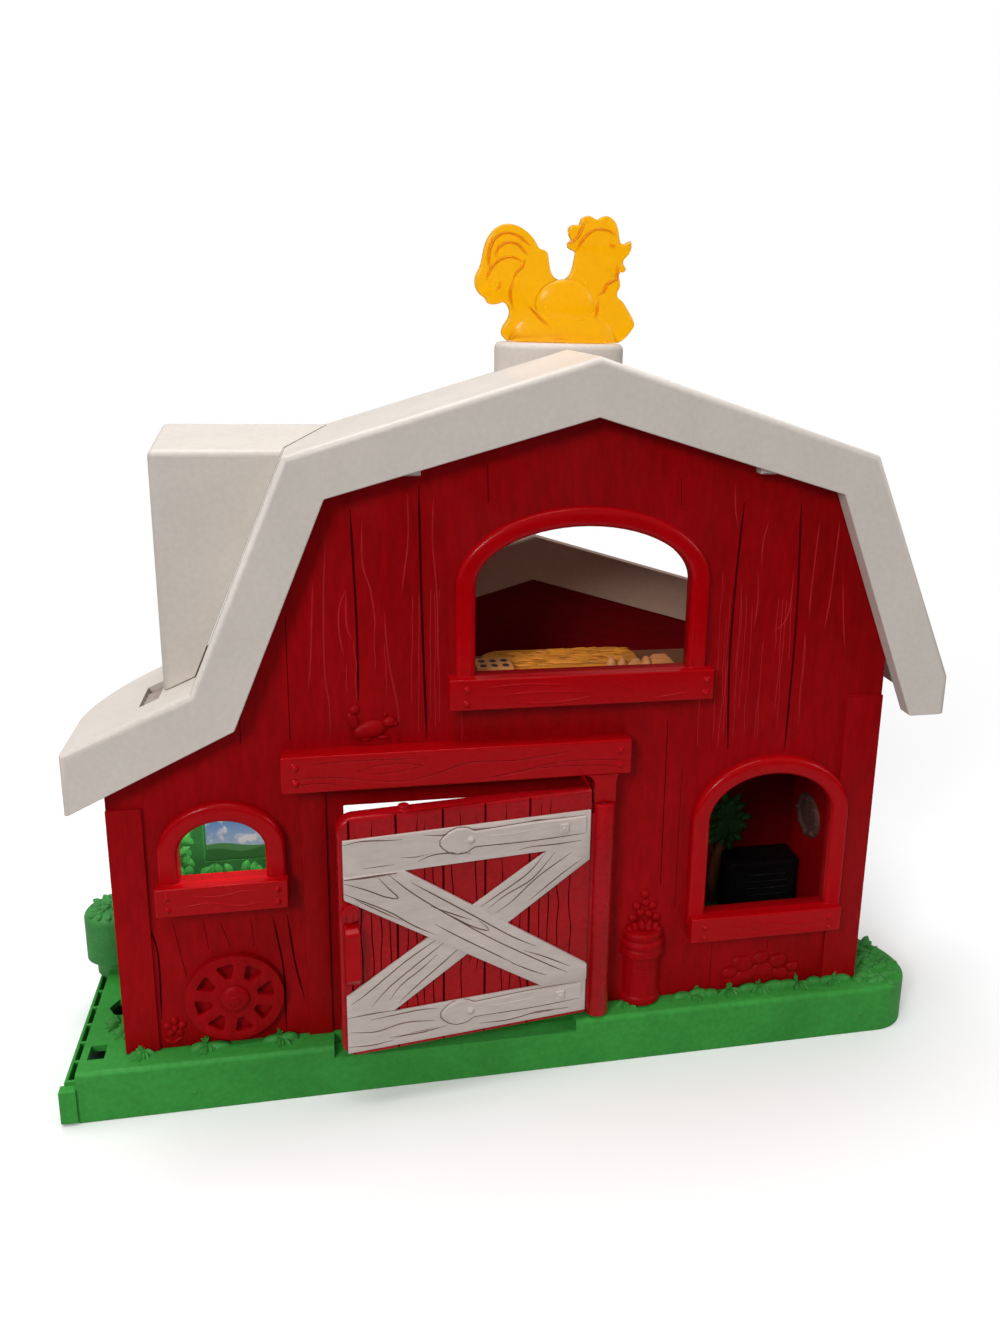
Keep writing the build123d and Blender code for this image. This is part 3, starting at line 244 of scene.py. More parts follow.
def moulding(name, tone, drift=0.14, fleck=0.10, rough=(0.42, 0.6), bump=0.10, stretch=(1, 1, 1), shine=0.35,
             cloud=26.0):
    """Moulded plastic in tone, with drifting pigment, flecks, uneven gloss and a fine texture."""
    material, tree, shader = new_material(name)
    place = add_node(tree, "TexCoord").outputs["Object"]
    pulled = add_node(tree, "Mapping", {"Vector": place, "Scale": stretch}).outputs["Vector"]

    def noise(scale, detail):
        inputs = {"Vector": pulled, "Scale": scale, "Detail": detail, "Roughness": 0.55}
        return add_node(tree, "TexNoise", inputs).outputs["Fac"]

    def blend_in(low, high, factor, ends):
        ramp = add_node(tree, "ValToRGB", {"Fac": factor})
        for stop, position, shade in zip(ramp.color_ramp.elements, ends, (low, high)):
            stop.position, stop.color = position, shade
        return ramp.outputs["Color"]

    pigment = blend_in(colour(*tone, 1 - drift), colour(*tone, 1 + drift), noise(cloud, 4.0), (0.3, 0.7))
    flecks = blend_in((1 - fleck,) * 3 + (1,), (1 + fleck,) * 3 + (1,), noise(cloud * 16, 3.0), (0.34, 0.66))
    both = add_node(tree, "Mix", {"Factor": 1.0, "A": pigment, "B": flecks}, data_type="RGBA",
                    blend_type="MULTIPLY")
    gloss = add_node(tree, "MapRange", {"Value": noise(cloud * 3, 5.0), "From Min": 0.3, "From Max": 0.7,
                                        "To Min": rough[0], "To Max": rough[1]})
    fine = add_node(tree, "Bump", {"Height": noise(TEXTURE, 3.0), "Strength": bump, "Distance": TEXTURE_DEPTH})
    set_inputs(tree, shader, {"Base Color": both.outputs["Result"], "Roughness": gloss.outputs["Result"],
                              "Normal": fine.outputs["Normal"], "Specular IOR Level": shine})
    return material


RED = (0.285, 0.0008, 0.0026)
barn_red = moulding("barn_red", RED, stretch=(1, 1, 0.22), bump=0.16, shine=0.07, rough=(0.34, 0.5))
# Frames, sills, beam and pull: a glossier red, painted brighter as painted light on these proud parts.
frame_red_painted_light = moulding("frame_red_painted_light", (0.38, 0.0008, 0.003), rough=(0.13, 0.22), bump=0.04, shine=0.12, drift=0.06,
                     fleck=0.05)
door_red = moulding("door_red", (0.34, 0.0014, 0.0042), rough=(0.2, 0.34), bump=0.06, shine=0.2)
# A lighter pinkish red for thin grain lines: painted highlight.
pale_red_painted_highlight = moulding("pale_red_painted_highlight", (0.38, 0.010, 0.013), drift=0.2, shine=0.12)
# A dark red for the faces of grooves: painted shade.
groove_red_painted_shade = moulding("groove_red_painted_shade", (0.085, 0.0006, 0.0016), drift=0.25, shine=0.03)
# The back wall's darker red is painted shade for the inside of the room.
room_red_painted_shade = moulding("room_red_painted_shade", (0.15, 0.001, 0.003), stretch=(0.3, 1, 1), shine=0.08)
print("plastics so far:", len(bpy.data.materials))

# %% [markdown]
# The other mouldings differ only in tone and gloss: warm white for the roof, a greyer white with wood texture for the
# door's boards, greens for ground and leaves, tan for the loft, straw yellow, and near black for the sound box.

# %% The other plastics
WHITE = (0.64, 0.580, 0.525)
# The rear trim is white plastic: its brownish colour is painted shade, tinted by red light from the walls.
TRIM_PAINTED_SHADE = (0.56, 0.37, 0.28)
roof_white = moulding("roof_white", WHITE, drift=0.035, fleck=0.03, rough=(0.36, 0.52), bump=0.07, shine=0.4)
trim_white_painted_shade = moulding("trim_white_painted_shade", TRIM_PAINTED_SHADE, drift=0.05, fleck=0.03, rough=(0.4, 0.55), bump=0.07, shine=0.3)
board_white = moulding("board_white", (0.54, 0.465, 0.425), drift=0.06, fleck=0.05, stretch=(0.25, 1, 1), bump=0.12)
# Dark brown for the boards' grooves: the grain's own colour along grain lines, painted shade at joints and straps.
grain_brown_and_painted_shade = moulding("grain_brown_and_painted_shade", (0.20, 0.12, 0.095), drift=0.2, shine=0.2)
ground_green = moulding("ground_green", (0.036, 0.262, 0.040), drift=0.12, fleck=0.08, rough=(0.34, 0.55), bump=0.13,
                        shine=0.16)
grass_green = moulding("grass_green", (0.034, 0.225, 0.034), drift=0.2, fleck=0.10, rough=(0.36, 0.55), shine=0.2)
leaf_green = moulding("leaf_green", (0.046, 0.225, 0.052), drift=0.2, fleck=0.10, rough=(0.42, 0.62), cloud=60.0,
                      shine=0.16)
# A darker copy of the leaf green for the tree in the room's back corner: painted shade.
tree_green_painted_shade = moulding("tree_green_painted_shade", (0.022, 0.12, 0.026), drift=0.25, fleck=0.15)
loft_tan = moulding("loft_tan", (0.66, 0.27, 0.085), drift=0.12, stretch=(0.25, 1, 1), bump=0.14)
# The loft floor is tan plastic painted dark brown: painted shade for the floor lying in shade behind the sill.
loft_floor_painted_shade = moulding("loft_floor_painted_shade", (0.24, 0.09, 0.036), drift=0.2, stretch=(0.25, 1, 1), bump=0.14, shine=0.2)
wreath_brown = moulding("wreath_brown", (0.10, 0.045, 0.038), drift=0.3, fleck=0.3, cloud=160.0, shine=0.1)
straw_yellow = moulding("straw_yellow", (0.74, 0.27, 0.022), drift=0.12, fleck=0.18, stretch=(0.12, 1, 1), bump=0.4)
box_black = moulding("box_black", (0.007, 0.005, 0.006), drift=0.2, rough=(0.45, 0.65), shine=0.08)
grille_black = moulding("grille_black", (0.004, 0.004, 0.0042), drift=0.2, rough=(0.3, 0.5))
trunk_brown = moulding("trunk_brown", (0.16, 0.055, 0.02), drift=0.25, fleck=0.2, stretch=(1, 1, 0.2), bump=0.3)
# Near black brown for the crate's holes: painted shade inside them.
hole_painted_shade = moulding("hole_painted_shade", (0.05, 0.018, 0.008), drift=0.2)
print("plastics now:", len(bpy.data.materials))

# %% [markdown]
# Metal parts hide under the base and in the hinge. They are drawn wire and sheet, so the same node work serves, with
# the shader's metal turned up and the pattern stretched along the wire. The board and the cells are glossy plastic.

# %% Metal, laminate and cells
def metal(name, tone, rough, stretch=(1, 1, 0.1)):
    """Drawn or pressed metal."""
    material = moulding(name, tone, drift=0.08, fleck=0.05, rough=rough, bump=0.05, stretch=stretch, shine=0.5,
                        cloud=90.0)
    material.node_tree.nodes["Principled BSDF"].inputs["Metallic"].default_value = 1.0
    return material


pin_steel = metal("pin_steel", (0.56, 0.56, 0.57), (0.22, 0.34))
screw_zinc = metal("screw_zinc", (0.50, 0.50, 0.49), (0.30, 0.46))
spring_nickel = metal("spring_nickel", (0.68, 0.66, 0.62), (0.16, 0.28))
frame_steel = metal("frame_steel", (0.40, 0.40, 0.41), (0.32, 0.5), (1, 1, 1))
board_laminate = moulding("board_laminate", (0.03, 0.19, 0.07), rough=(0.2, 0.34), shine=0.5)
cell_jacket = moulding("cell_jacket", (0.03, 0.03, 0.034), rough=(0.16, 0.26), bump=0.03, shine=0.5)
print("metals and the rest:", len(bpy.data.materials))

# %% [markdown]
# The weathercock is clear amber plastic: light goes into it and comes out again, so it is brighter where it is thin.
# Full glass would show what stands behind it and hide the relief. A Principled shader that lets a fair part of
# the light through as tinted, rough transmission keeps both the glow and the shape.

# %% Amber
amber = moulding("amber", (1.0, 0.50, 0.0015), drift=0.03, fleck=0.03, rough=(0.16, 0.28), bump=0.02, shine=0.3)
amber_shader = amber.node_tree.nodes["Principled BSDF"]
set_inputs(amber.node_tree, amber_shader, {
    "Subsurface Weight": 0.3, "Subsurface Radius": (1.0, 0.45, 0.05), "Subsurface Scale": 0.006,
    "Transmission Weight": 0.78, "IOR": 1.3})
print("amber, subsurface", round(amber_shader.inputs["Subsurface Weight"].default_value, 2))

# %% [markdown]
# A small printed sheet hangs on the stall's back. Its design is a plain landscape: sky that pales towards the
# horizon, soft clouds, and two rolling hills. It is worked out from the sheet's own height and width with waves and
# noise, so it needs no picture file.

# %% Printed sheet
SKY_LOW, SKY_HIGH, CLOUD = (0.62, 0.74, 0.80, 1), (0.07, 0.23, 0.55, 1), (0.80, 0.82, 0.83, 1)
HILLS = (  # height of the crest, number of waves, share of the rise, colour
    (0.34, 5.0, 0.4, (0.10, 0.30, 0.10, 1)),
    (0.20, 7.0, 2.2, (0.05, 0.19, 0.05, 1)),
)


def landscape(name, low, high):
    """Sky, clouds and hills between the corners low and high of the sheet."""
    material, tree, shader = new_material(name)
    place = add_node(tree, "TexCoord").outputs["Object"]
    parts = add_node(tree, "SeparateXYZ", {"Vector": place}).outputs

    def across(axis, start, end):
        inputs = {"Value": parts[axis], "From Min": start, "From Max": end}
        return add_node(tree, "MapRange", inputs).outputs["Result"]

    def sums(kind, first, second):
        return add_node(tree, "Math", {0: first, 1: second}, operation=kind).outputs["Value"]

    def over(under, paint, mask):
        return add_node(tree, "Mix", {"Factor": mask, "A": under, "B": paint}, data_type="RGBA").outputs["Result"]

    side, up = across("X", low.x, high.x), across("Z", low.z, high.z)
    picture = over(SKY_LOW, SKY_HIGH, up)
    clouds = add_node(tree, "TexNoise", {"Vector": place, "Scale": 150.0, "Detail": 5.0}).outputs["Fac"]
    puff = sums("MULTIPLY", sums("SUBTRACT", clouds, 0.50), 9.0)
    picture = over(picture, CLOUD, add_node(tree, "Clamp", {"Value": puff}).outputs["Result"])
    for rise, waves, share, tone in HILLS:
        line = sums("MULTIPLY", sums("SINE", sums("MULTIPLY_ADD", side, waves), 0.0), 0.05)
        picture = over(picture, tone, sums("LESS_THAN", up, sums("ADD", line, rise + 0.01 * share)))
    film = add_node(tree, "TexNoise", {"Vector": place, "Scale": 300.0}).outputs["Fac"]
    gloss = add_node(tree, "MapRange", {"Value": film, "To Min": 0.2, "To Max": 0.4})
    fine = add_node(tree, "Bump", {"Height": film, "Strength": 0.05, "Distance": 0.0004})
    set_inputs(tree, shader, {"Base Color": picture, "Roughness": gloss.outputs["Result"],
                              "Normal": fine.outputs["Normal"], "Specular IOR Level": 0.5})
    return material


printed_sheet = landscape("printed_sheet", *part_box("stall_picture"))

# %% [markdown]
# Every piece that stays as it is gets its material here. The four whose faces are carved later (front wall, door,
# boards and lintel) and the weathercock, which is drawn anew, are not in this list.

# %% Dress the pieces
FINISH = {
    "right_wall": barn_red, "left_wall": barn_red, "back_wall": room_red_painted_shade, "rear_trim": trim_white_painted_shade,
    "roof": roof_white, "dormer": roof_white, "turret": roof_white,
    "spindle_washer": pin_steel, "loft_floor": loft_floor_painted_shade, "hay": straw_yellow, "door_pull": frame_red_painted_light,
    "hinge_pin": pin_steel, "base": ground_green, "side_rail": ground_green, "base_screws": screw_zinc,
    "hedge": leaf_green, "stall_picture": printed_sheet, "sound_box": box_black, "speaker_grille": grille_black,
    "speaker": frame_steel, "circuit_board": board_laminate, "cells": cell_jacket, "cell_contacts": spring_nickel,
    "cell_cover": ground_green, "cover_screw": screw_zinc,
}
for name, finish in FINISH.items():
    for place in nodes[name].material_slots:
        place.material = finish
print("dressed:", len(FINISH), "of", len(nodes))

# %% [markdown]
# Moulded edges are never sharp, because steel moulds wear and plastic shrinks. A Bevel modifier rounds them by a
# few tenths of a millimetre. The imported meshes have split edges, so a Weld comes first, and hardened normals keep the
# flat faces flat.

# %% Round the moulded edges
EDGE_ANGLE = 38


def round_edges(thing, width):
    """Weld the mesh and round its sharp edges by width mm."""
    weld = thing.modifiers.new("weld", "WELD")
    weld.merge_threshold = 0.00001
    edge = thing.modifiers.new("edge", "BEVEL")
    edge.width = width * MM
    edge.segments = 2
    edge.limit_method = "ANGLE"
    edge.angle_limit = math.radians(EDGE_ANGLE)
    edge.use_clamp_overlap = False
    edge.harden_normals = True


ROUNDED = {"right_wall": 0.4, "left_wall": 0.4, "back_wall": 0.4, "rear_trim": 0.4, "roof": 0.5, "dormer": 0.5,
           "turret": 0.5, "loft_floor": 0.4, "door_pull": 0.9, "side_rail": 0.4, "sound_box": 0.4}
for name, width in ROUNDED.items():
    round_edges(nodes[name], width)
print("rounded:", len(ROUNDED))

# %% [markdown]
# Carved lines all start as a few points on a face. A Catmull-Rom curve runs smoothly through them, as an engraver's
# tool would.

# %% Smooth lines
def smooth_run(points, step=2.5):
    """Points of a smooth curve through the given ones, about step mm apart."""
    if len(points) < 3:
        return [Vector(p) for p in points]
    ends = [Vector(p) for p in points]
    ends = [2 * ends[0] - ends[1]] + ends + [2 * ends[-1] - ends[-2]]
    run = [ends[1].copy()]
    for a, b, c, e in zip(ends, ends[1:], ends[2:], ends[3:]):
        parts = max(1, round((c - b).length / step))
        for k in range(1, parts + 1):
            t = k / parts
            run.append(0.5 * (2 * b + (c - a) * t + (2 * a - 5 * b + 4 * c - e) * t * t
                              + (3 * b - a - 3 * c + e) * t ** 3))
    return run


print("smooth run of 3 points:", len(smooth_run([(0, 0), (10, 5), (20, 0)])), "points")

# %% [markdown]
# Each face that carries lines has its own `place` function. It turns (x, h, out) into a spot in space, where out is
# how far the point stands before the face. The stall door's face follows the door, which stands a little ajar.

# %% Places on the wall and the door
def on_wall(x, h, out):
    """The front of the front wall."""
    return spot(x, -out, h)


HINGE = (7.8, -6.8)
AJAR = 7.0
DOOR_D = -3.5


def on_door(x, h, out):
    """The front of the stall door, which stands ajar about its hinge."""
    swing = Matrix.Rotation(math.radians(AJAR), 2)
    x, d = swing @ Vector((x - HINGE[0], DOOR_D - out)) + Vector(HINGE)
    return spot(x, d, h)


print("the door's free edge stands", round((on_wall(-109, 0, 0).y - on_door(-109, 0, 0).y) / MM, 1), "mm proud")

# %% [markdown]
# All the small shapes of this toy are made alike: a ring of points is moved along a line or up a shape, each ring is
# joined to the next by faces, and the open ends are closed. Three helpers do this for every shape that follows.

# %% Rings and skins
def sideways(run, k, closed=False):
    """The direction across a line at its point k."""
    after, before = ((k + 1) % len(run), k - 1) if closed else (min(k + 1, len(run) - 1), max(k - 1, 0))
    along = (run[after] - run[before]).normalized()
    return Vector((-along.y, along.x))


def skin(mesh, rings, closed=False):
    """Faces from each ring of points to the next, and from the last to the first if closed."""
    for a, b in list(zip(rings, rings[1:])) + ([(rings[-1], rings[0])] if closed else []):
        for k in range(len(a)):
            mesh.faces.new((a[k], a[(k + 1) % len(a)], b[(k + 1) % len(a)], b[k]))


def cap(mesh, *rings):
    """A face over each of these rings."""
    for ring in rings:
        mesh.faces.new(ring)


print("mesh helpers:", [tool.__name__ for tool in (sideways, skin, cap)])

# %% [markdown]
# Planks are shown by narrow V grooves. Each groove is first drawn as a three-sided bar laid along its line, which
# stands a little before the face so that the cut is clean. Its ends taper off as a cutter lifts.

# %% Bars for grooves
BAR_OVER = 0.35


def v_bar(mesh, place, points, width, depth, taper=True):
    """A three-sided bar along points, for a groove of this width and depth in mm."""
    run = smooth_run(points)
    rings = []
    for k, here in enumerate(run):
        near_end = min(k, len(run) - 1 - k) / max(1.0, min(4.0, len(run) / 3))
        grow = 0.45 + 0.55 * min(1.0, near_end) if taper else 1.0
        reach = sideways(run, k) * (width / 2 * grow * (1 + BAR_OVER / depth))
        left, right = here + reach, here - reach
        corners = ((left, BAR_OVER), (right, BAR_OVER), (here, -depth * grow))
        rings.append([mesh.verts.new(place(p.x, p.y, out)) for p, out in corners])
    skin(mesh, rings)
    cap(mesh, rings[0], rings[-1])


print("a bar starts", BAR_OVER, "mm before the face")

# %% [markdown]
# One boolean takes all bars out of a copy of the moulding at once, and the copy then stands for the imported piece. The
# bars carry a material of their own, and the boolean hands it on to the cut faces. The darker red of the wall's and
# door's grooves is painted shade.

# %% Cutting grooves
def new_thing(name, mesh, *materials):
    """An object in the scene from a bmesh, with outward faces."""
    bmesh.ops.recalc_face_normals(mesh, faces=mesh.faces)
    data = bpy.data.meshes.new(name)
    mesh.to_mesh(data)
    mesh.free()
    for material in materials:
        data.materials.append(material)
    thing = bpy.data.objects.new(name, data)
    bpy.context.scene.collection.objects.link(thing)
    return thing


def settle(thing, angle=35):
    """Apply the modifiers, and shade smooth with sharp edges kept above angle."""
    seen_as = thing.evaluated_get(bpy.context.evaluated_depsgraph_get())
    data = bpy.data.meshes.new_from_object(seen_as)
    thing.modifiers.clear()
    thing.data = data
    data.shade_smooth()
    data.set_sharp_from_angle(angle=math.radians(angle))
    return thing


def carve(node, new_name, finish, bars, groove_finish, edge):
    """A copy of the node with rounded edges and the bars taken out of it, which replaces the node."""
    data = nodes[node].data.copy()
    if "custom_normal" in data.attributes:
        data.attributes.remove(data.attributes["custom_normal"])
    data.materials.clear()
    data.materials.append(finish)
    thing = bpy.data.objects.new(new_name, data)
    bpy.context.scene.collection.objects.link(thing)
    round_edges(thing, edge)
    thing.modifiers["edge"].harden_normals = False
    settle(thing)
    tool = new_thing("groove_tool", bars, groove_finish)
    cut = thing.modifiers.new("grooves", "BOOLEAN")
    cut.operation, cut.solver, cut.object = "DIFFERENCE", "EXACT", tool
    cut.use_self, cut.material_mode = True, "TRANSFER"
    before = len(thing.data.polygons)
    settle(thing)
    bpy.data.objects.remove(tool)
    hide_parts(node)
    print(new_name, "faces", before, "to", len(thing.data.polygons))
    return thing


print("helpers for pieces:", [tool.__name__ for tool in (new_thing, settle, carve)])

# %% [markdown]
# The front wall's planks run up and down, and their joints stop at the windows and the lintel. Below the
# left window older joints lean to one side, as planks do that have sprung loose. The frames and sills stand proud of
# the wall, so their faces get a glossier red that is also painted brighter, as painted light on the proud faces. The
# can and the wheel keep the dull one.

# %% Grooves of the front wall
PLANK_JOINTS = [
    [(-127, 196.5), (-127, 142.5)], [(-100, 240), (-98.5, 194), (-98.5, 159)],
    [(-72.5, 249.5), (-71.5, 193), (-70, 140)], [(-44.5, 258.5), (-44, 242.5)], [(38.5, 252), (39, 240.5)],
    [(67.5, 241.5), (66, 207), (65.5, 170), (67.5, 126.5)], [(94, 240.5), (96, 187.5), (95.5, 125.5)],
    [(38, 142.5), (38.5, 60)], [(-147, 165), (-147, 142)],
]
SPRUNG_JOINTS = [
    [(-191.5, 84), (-190, 65.5), (-186, 47.5), (-186.5, 14.5)], [(-179, 61.5), (-175, 35.5)],
    [(-166.5, 61), (-165, 47.5)], [(-159.5, 59.5), (-156, 48)], [(-147, 60.5), (-146, 47)],
    [(-137.5, 60.5), (-134, 33.5), (-134, 3.5)], [(-131.5, 61.5), (-129, 37.5), (-125.5, 18)],
]
RIGHT_JOINTS = [[(66, 30), (66, 1)], [(95, 30), (94.5, 1)], [(46, 118), (46, 48)]]
bars = bmesh.new()
for lines, width, depth in ((PLANK_JOINTS, 1.0, 0.7), (SPRUNG_JOINTS, 0.8, 0.55), (RIGHT_JOINTS, 0.7, 0.5)):
    for line in lines:
        v_bar(bars, on_wall, line, width, depth)
print("wall joints:", len(PLANK_JOINTS) + len(SPRUNG_JOINTS) + len(RIGHT_JOINTS))
# The joints' dark red is painted shade.
front = carve("front_wall", "front_wall_carved", barn_red, bars, groove_red_painted_shade, 0.3)
front.data.materials.append(frame_red_painted_light)
painted_light_slot = len(front.data.materials) - 1
PROUD = 1.7
DULL_UP_TO, DULL_PLACES = 50, ((31, 13), (-155, 23))
dull_top, proud_face = spot(0, 0, DULL_UP_TO).z, spot(0, 0, 0).y - PROUD * MM
for face in front.data.polygons:
    dull = face.center.z < dull_top and any(abs(face.center.x - spot(x, 0, 0).x) < reach * MM
                                            for x, reach in DULL_PLACES)
    if face.material_index == 0 and face.center.y < proud_face and not dull:
        face.material_index = painted_light_slot
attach(front, "barn")

# %% [markdown]
# What stands up from a face is relief: an engraver's scratch in the mould leaves a thin ridge on the plastic. `bead`
# makes one, half of a thin round bar that fades out at both ends, and `relief` finishes a mesh of such strokes as one
# piece that rides with its body.

# %% Raised beads
def bead(mesh, place, points, radius, rise, sides=5, fade=3, step=2.5, closed=False):
    """A half-round ridge along points, radius mm to each side and rise mm high."""
    run = smooth_run(points, step)
    if closed:
        run = run[:-1]
    rings = []
    for k, here in enumerate(run):
        grow = 1.0 if closed else 0.15 + 0.85 * min(1.0, min(k, len(run) - 1 - k) / fade)
        side = sideways(run, k, closed)
        ring = []
        for j in range(sides + 1):
            turned = math.pi * j / sides
            p = here + side * radius * grow * math.cos(turned)
            ring.append(mesh.verts.new(place(p.x, p.y, rise * grow * math.sin(turned) - 0.05)))
        rings.append(ring)
    skin(mesh, rings, closed)
    if not closed:
        cap(mesh, rings[0], rings[-1])


def relief(name, mesh, finish, body="barn", slot="red_plastic"):
    """A finished relief piece that rides on a body."""
    thing = new_thing(name, mesh, finish)
    thing.data.shade_smooth()
    thing.data.set_sharp_from_angle(angle=math.radians(50))
    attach(thing, body)
    print(name, "faces", len(thing.data.polygons))


print("relief helpers:", [tool.__name__ for tool in (bead, relief)])

# %% [markdown]
# The wall's finer grain is such relief, in a lighter red that is painted highlight on the thin ridges. The main
# lines are listed, and fainter ones fill in from a fixed seed, so that they are the same each time.

# %% Grain of the wall
LEFT_GRAIN = [
    [(-110, 228), (-111.5, 203), (-112, 173), (-110.5, 157), (-110.5, 141.5)],
    [(-95.5, 236), (-95.5, 217.5), (-92.5, 206.5), (-90.5, 191)], [(-84, 247), (-84.5, 229)],
    [(-77, 247), (-77, 227.5), (-80, 204.5)], [(-102.5, 207.5), (-105.5, 198.5), (-105.5, 187.5), (-104, 178.5)],
    [(-102.5, 207.5), (-102.5, 191.5), (-100.5, 185.5)],
    [(-87, 198), (-86.5, 185), (-85, 171.5), (-82, 153.5), (-82, 144.5)], [(-57.5, 254.5), (-55.5, 240)],
    [(-51, 252), (-49.5, 241)], [(-38.5, 260), (-35, 243)],
    [(-66.5, 245.5), (-67, 227), (-65.5, 207), (-65, 193), (-65, 171)],
    [(-115.5, 211.5), (-117.5, 177.5), (-119, 163.5)], [(-62.5, 151), (-62, 141)], [(-55.5, 149.5), (-55.5, 141)],
]
RIGHT_GRAIN = [
    [(46, 252), (46.5, 242)], [(55.5, 253), (55.5, 240)], [(63, 250.5), (63.5, 240), (65.5, 229.5)],
    [(79.5, 233.5), (77.5, 223), (77.5, 212)], [(76, 211), (77, 197.5), (76, 183.5)],
    [(93, 211), (92.5, 194), (90, 186), (85.5, 183)], [(113, 233), (112.5, 218.5), (111.5, 196.5), (110, 182.5)],
    [(118, 219.5), (116.5, 215)], [(103.5, 233.5), (103, 224), (102.5, 210.5), (102, 196.5), (102.5, 187.5)],
    [(62.5, 218.5), (62.5, 210.5)], [(60.5, 190.5), (62, 172)], [(76, 147.5), (81.5, 134.5)],
    [(81.5, 159.5), (84, 136)], [(117, 205.5), (118.5, 191.5), (121, 172.5)], [(120.5, 163), (122, 148)],
    [(48.5, 144), (48, 132.5)],
]
grain = bmesh.new()
for line in LEFT_GRAIN + RIGHT_GRAIN:
    bead(grain, on_wall, line, 0.38, 0.28)
faint = random.Random(31)
FAINT_LINES, FAINT_SWAY = 46, 0.45
for k in range(FAINT_LINES):
    side = -1 if k % 2 else 1
    x, low = side * faint.uniform(52, 116), faint.uniform(122, 176)
    under_roof = 236 - 0.42 * abs(x) - max(0, abs(x) - 96) * 2.4
    top = min(low + faint.uniform(22, 70), under_roof)
    by_animal = -108 < x < -78 and low < 156
    if top > low + 12 and not by_animal:
        line = [(x + faint.uniform(-FAINT_SWAY, FAINT_SWAY), low + (top - low) * n / 5) for n in range(6)]
        bead(grain, on_wall, line, 0.22, 0.15, fade=1)
relief("wall_grain", grain, pale_red_painted_highlight)

# %% [markdown]
# Low relief needs two more strokes. A `lump` is a flattened half egg, for rivets, petals and bodies. It sinks a little
# into the face that carries it, so no gap shows from the side.

# %% Lumps
def lump(mesh, place, x, h, wide, high, rise, turned=0.0, around=16, rows=4, sink=0.1):
    """A half egg of half width wide and half height high, turned by degrees, standing rise mm out."""
    c, s = math.cos(math.radians(turned)), math.sin(math.radians(turned))
    rings = []
    for r in range(rows):
        lift = math.pi / 2 * r / rows
        ring = []
        for k in range(around):
            a = 2 * math.pi * k / around
            u, v = wide * math.cos(lift) * math.cos(a), high * math.cos(lift) * math.sin(a)
            ring.append(mesh.verts.new(place(x + u * c - v * s, h + u * s + v * c, rise * math.sin(lift) - sink)))
        rings.append(ring)
    top = mesh.verts.new(place(x, h, rise - sink))
    skin(mesh, rings)
    for k in range(around):
        mesh.faces.new((rings[-1][k], rings[-1][(k + 1) % around], top))
    cap(mesh, rings[0])


def raised(place, out_by):
    """The same face, out_by mm further out."""
    return lambda x, h, out: place(x, h, out + out_by)


def rivet(mesh, place, x, h, radius):
    """A round head with a low collar."""
    lump(mesh, place, x, h, radius * 1.35, radius * 1.35, 0.5)
    lump(mesh, place, x, h, radius, radius, 1.3)


print("round strokes:", [stroke.__name__ for stroke in (lump, rivet)])

# %% [markdown]
# A `leaf` is a pointed lens with its highest line down the middle, for leaves and grass. It starts at its stalk, may
# curl to one side, and sinks into its face as a lump does.

# %% Leaves
LEAF_PARTS = 6


def leaf(mesh, place, x, h, length, width, turned, rise, curl=0.0, sink=0.1):
    """A pointed leaf from its stalk at (x, h), length mm long, lying along turned degrees."""
    c, s = math.cos(math.radians(turned)), math.sin(math.radians(turned))
    rows = []
    for k in range(LEAF_PARTS + 1):
        t = k / LEAF_PARTS
        half = width / 2 * math.sin(math.pi * min(1.0, 0.12 + 0.88 * t)) ** 0.8 + 0.05
        u = length * t
        bend = curl * t * t * length
        lift = rise * (0.35 + 0.65 * math.sin(math.pi * t))
        row = []
        for v, out in ((half, -sink), (half * 0.55, lift * 0.7), (0.0, lift), (-half * 0.55, lift * 0.7),
                       (-half, -sink)):
            v += bend
            row.append(mesh.verts.new(place(x + u * c - v * s, h + u * s + v * c, out)))
        rows.append(row)
    skin(mesh, rows)
    cap(mesh, rows[0], rows[-1])


print("a leaf has", LEAF_PARTS, "parts along its length")

# %% [markdown]
# The lintel is a heavy beam: growth rings open into a long eye left of its middle and run out in waves to the right,
# and two iron rivets sit at each end. The lines are cut as V grooves in a copy of the beam, like the wall's joints.

# %% Lintel
LINTEL_OUT = 10.0
on_lintel = raised(on_wall, LINTEL_OUT)
LINTEL_LINES = [
    [(-130, 128.6), (-110, 128.9), (-94.7, 126.2), (-79.1, 125.1), (-65.3, 128.2), (-52.5, 132.0), (-30.9, 131.8),
     (-8.9, 134.6)], [(-129.4, 126.3), (-112.2, 126.2), (-102.0, 123.9)],
    [(-52.5, 123.9), (-36.3, 125.2), (-19.9, 127.6), (2.5, 127.2), (17.5, 125.7)],
    [(-99.8, 130.9), (-91.5, 129.0), (-80.1, 129.8), (-72.7, 131.9)],
    [(-99.8, 131.1), (-92, 132.8), (-80, 133.2), (-72.9, 132.1)],
    [(-46, 124.3), (-30.8, 126.6), (-14.4, 129.6), (2.4, 129.8), (17.5, 128.7)],
    [(-118, 135.3), (-96, 135.6), (-70, 135.0)],
]
bars = bmesh.new()
for line in LINTEL_LINES:
    v_bar(bars, on_lintel, line, 0.55, 0.45)
# The beam's ring grooves take the lighter red of painted highlight.
beam = carve("lintel", "lintel_carved", frame_red_painted_light, bars, pale_red_painted_highlight, 0.7)
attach(beam, "barn")

# %% [markdown]
# The sills carry the same scratched grain as the wall, and rivets at their ends. All of it is one relief piece per
# colour, because on the real toy it comes out of the mould with the wall.

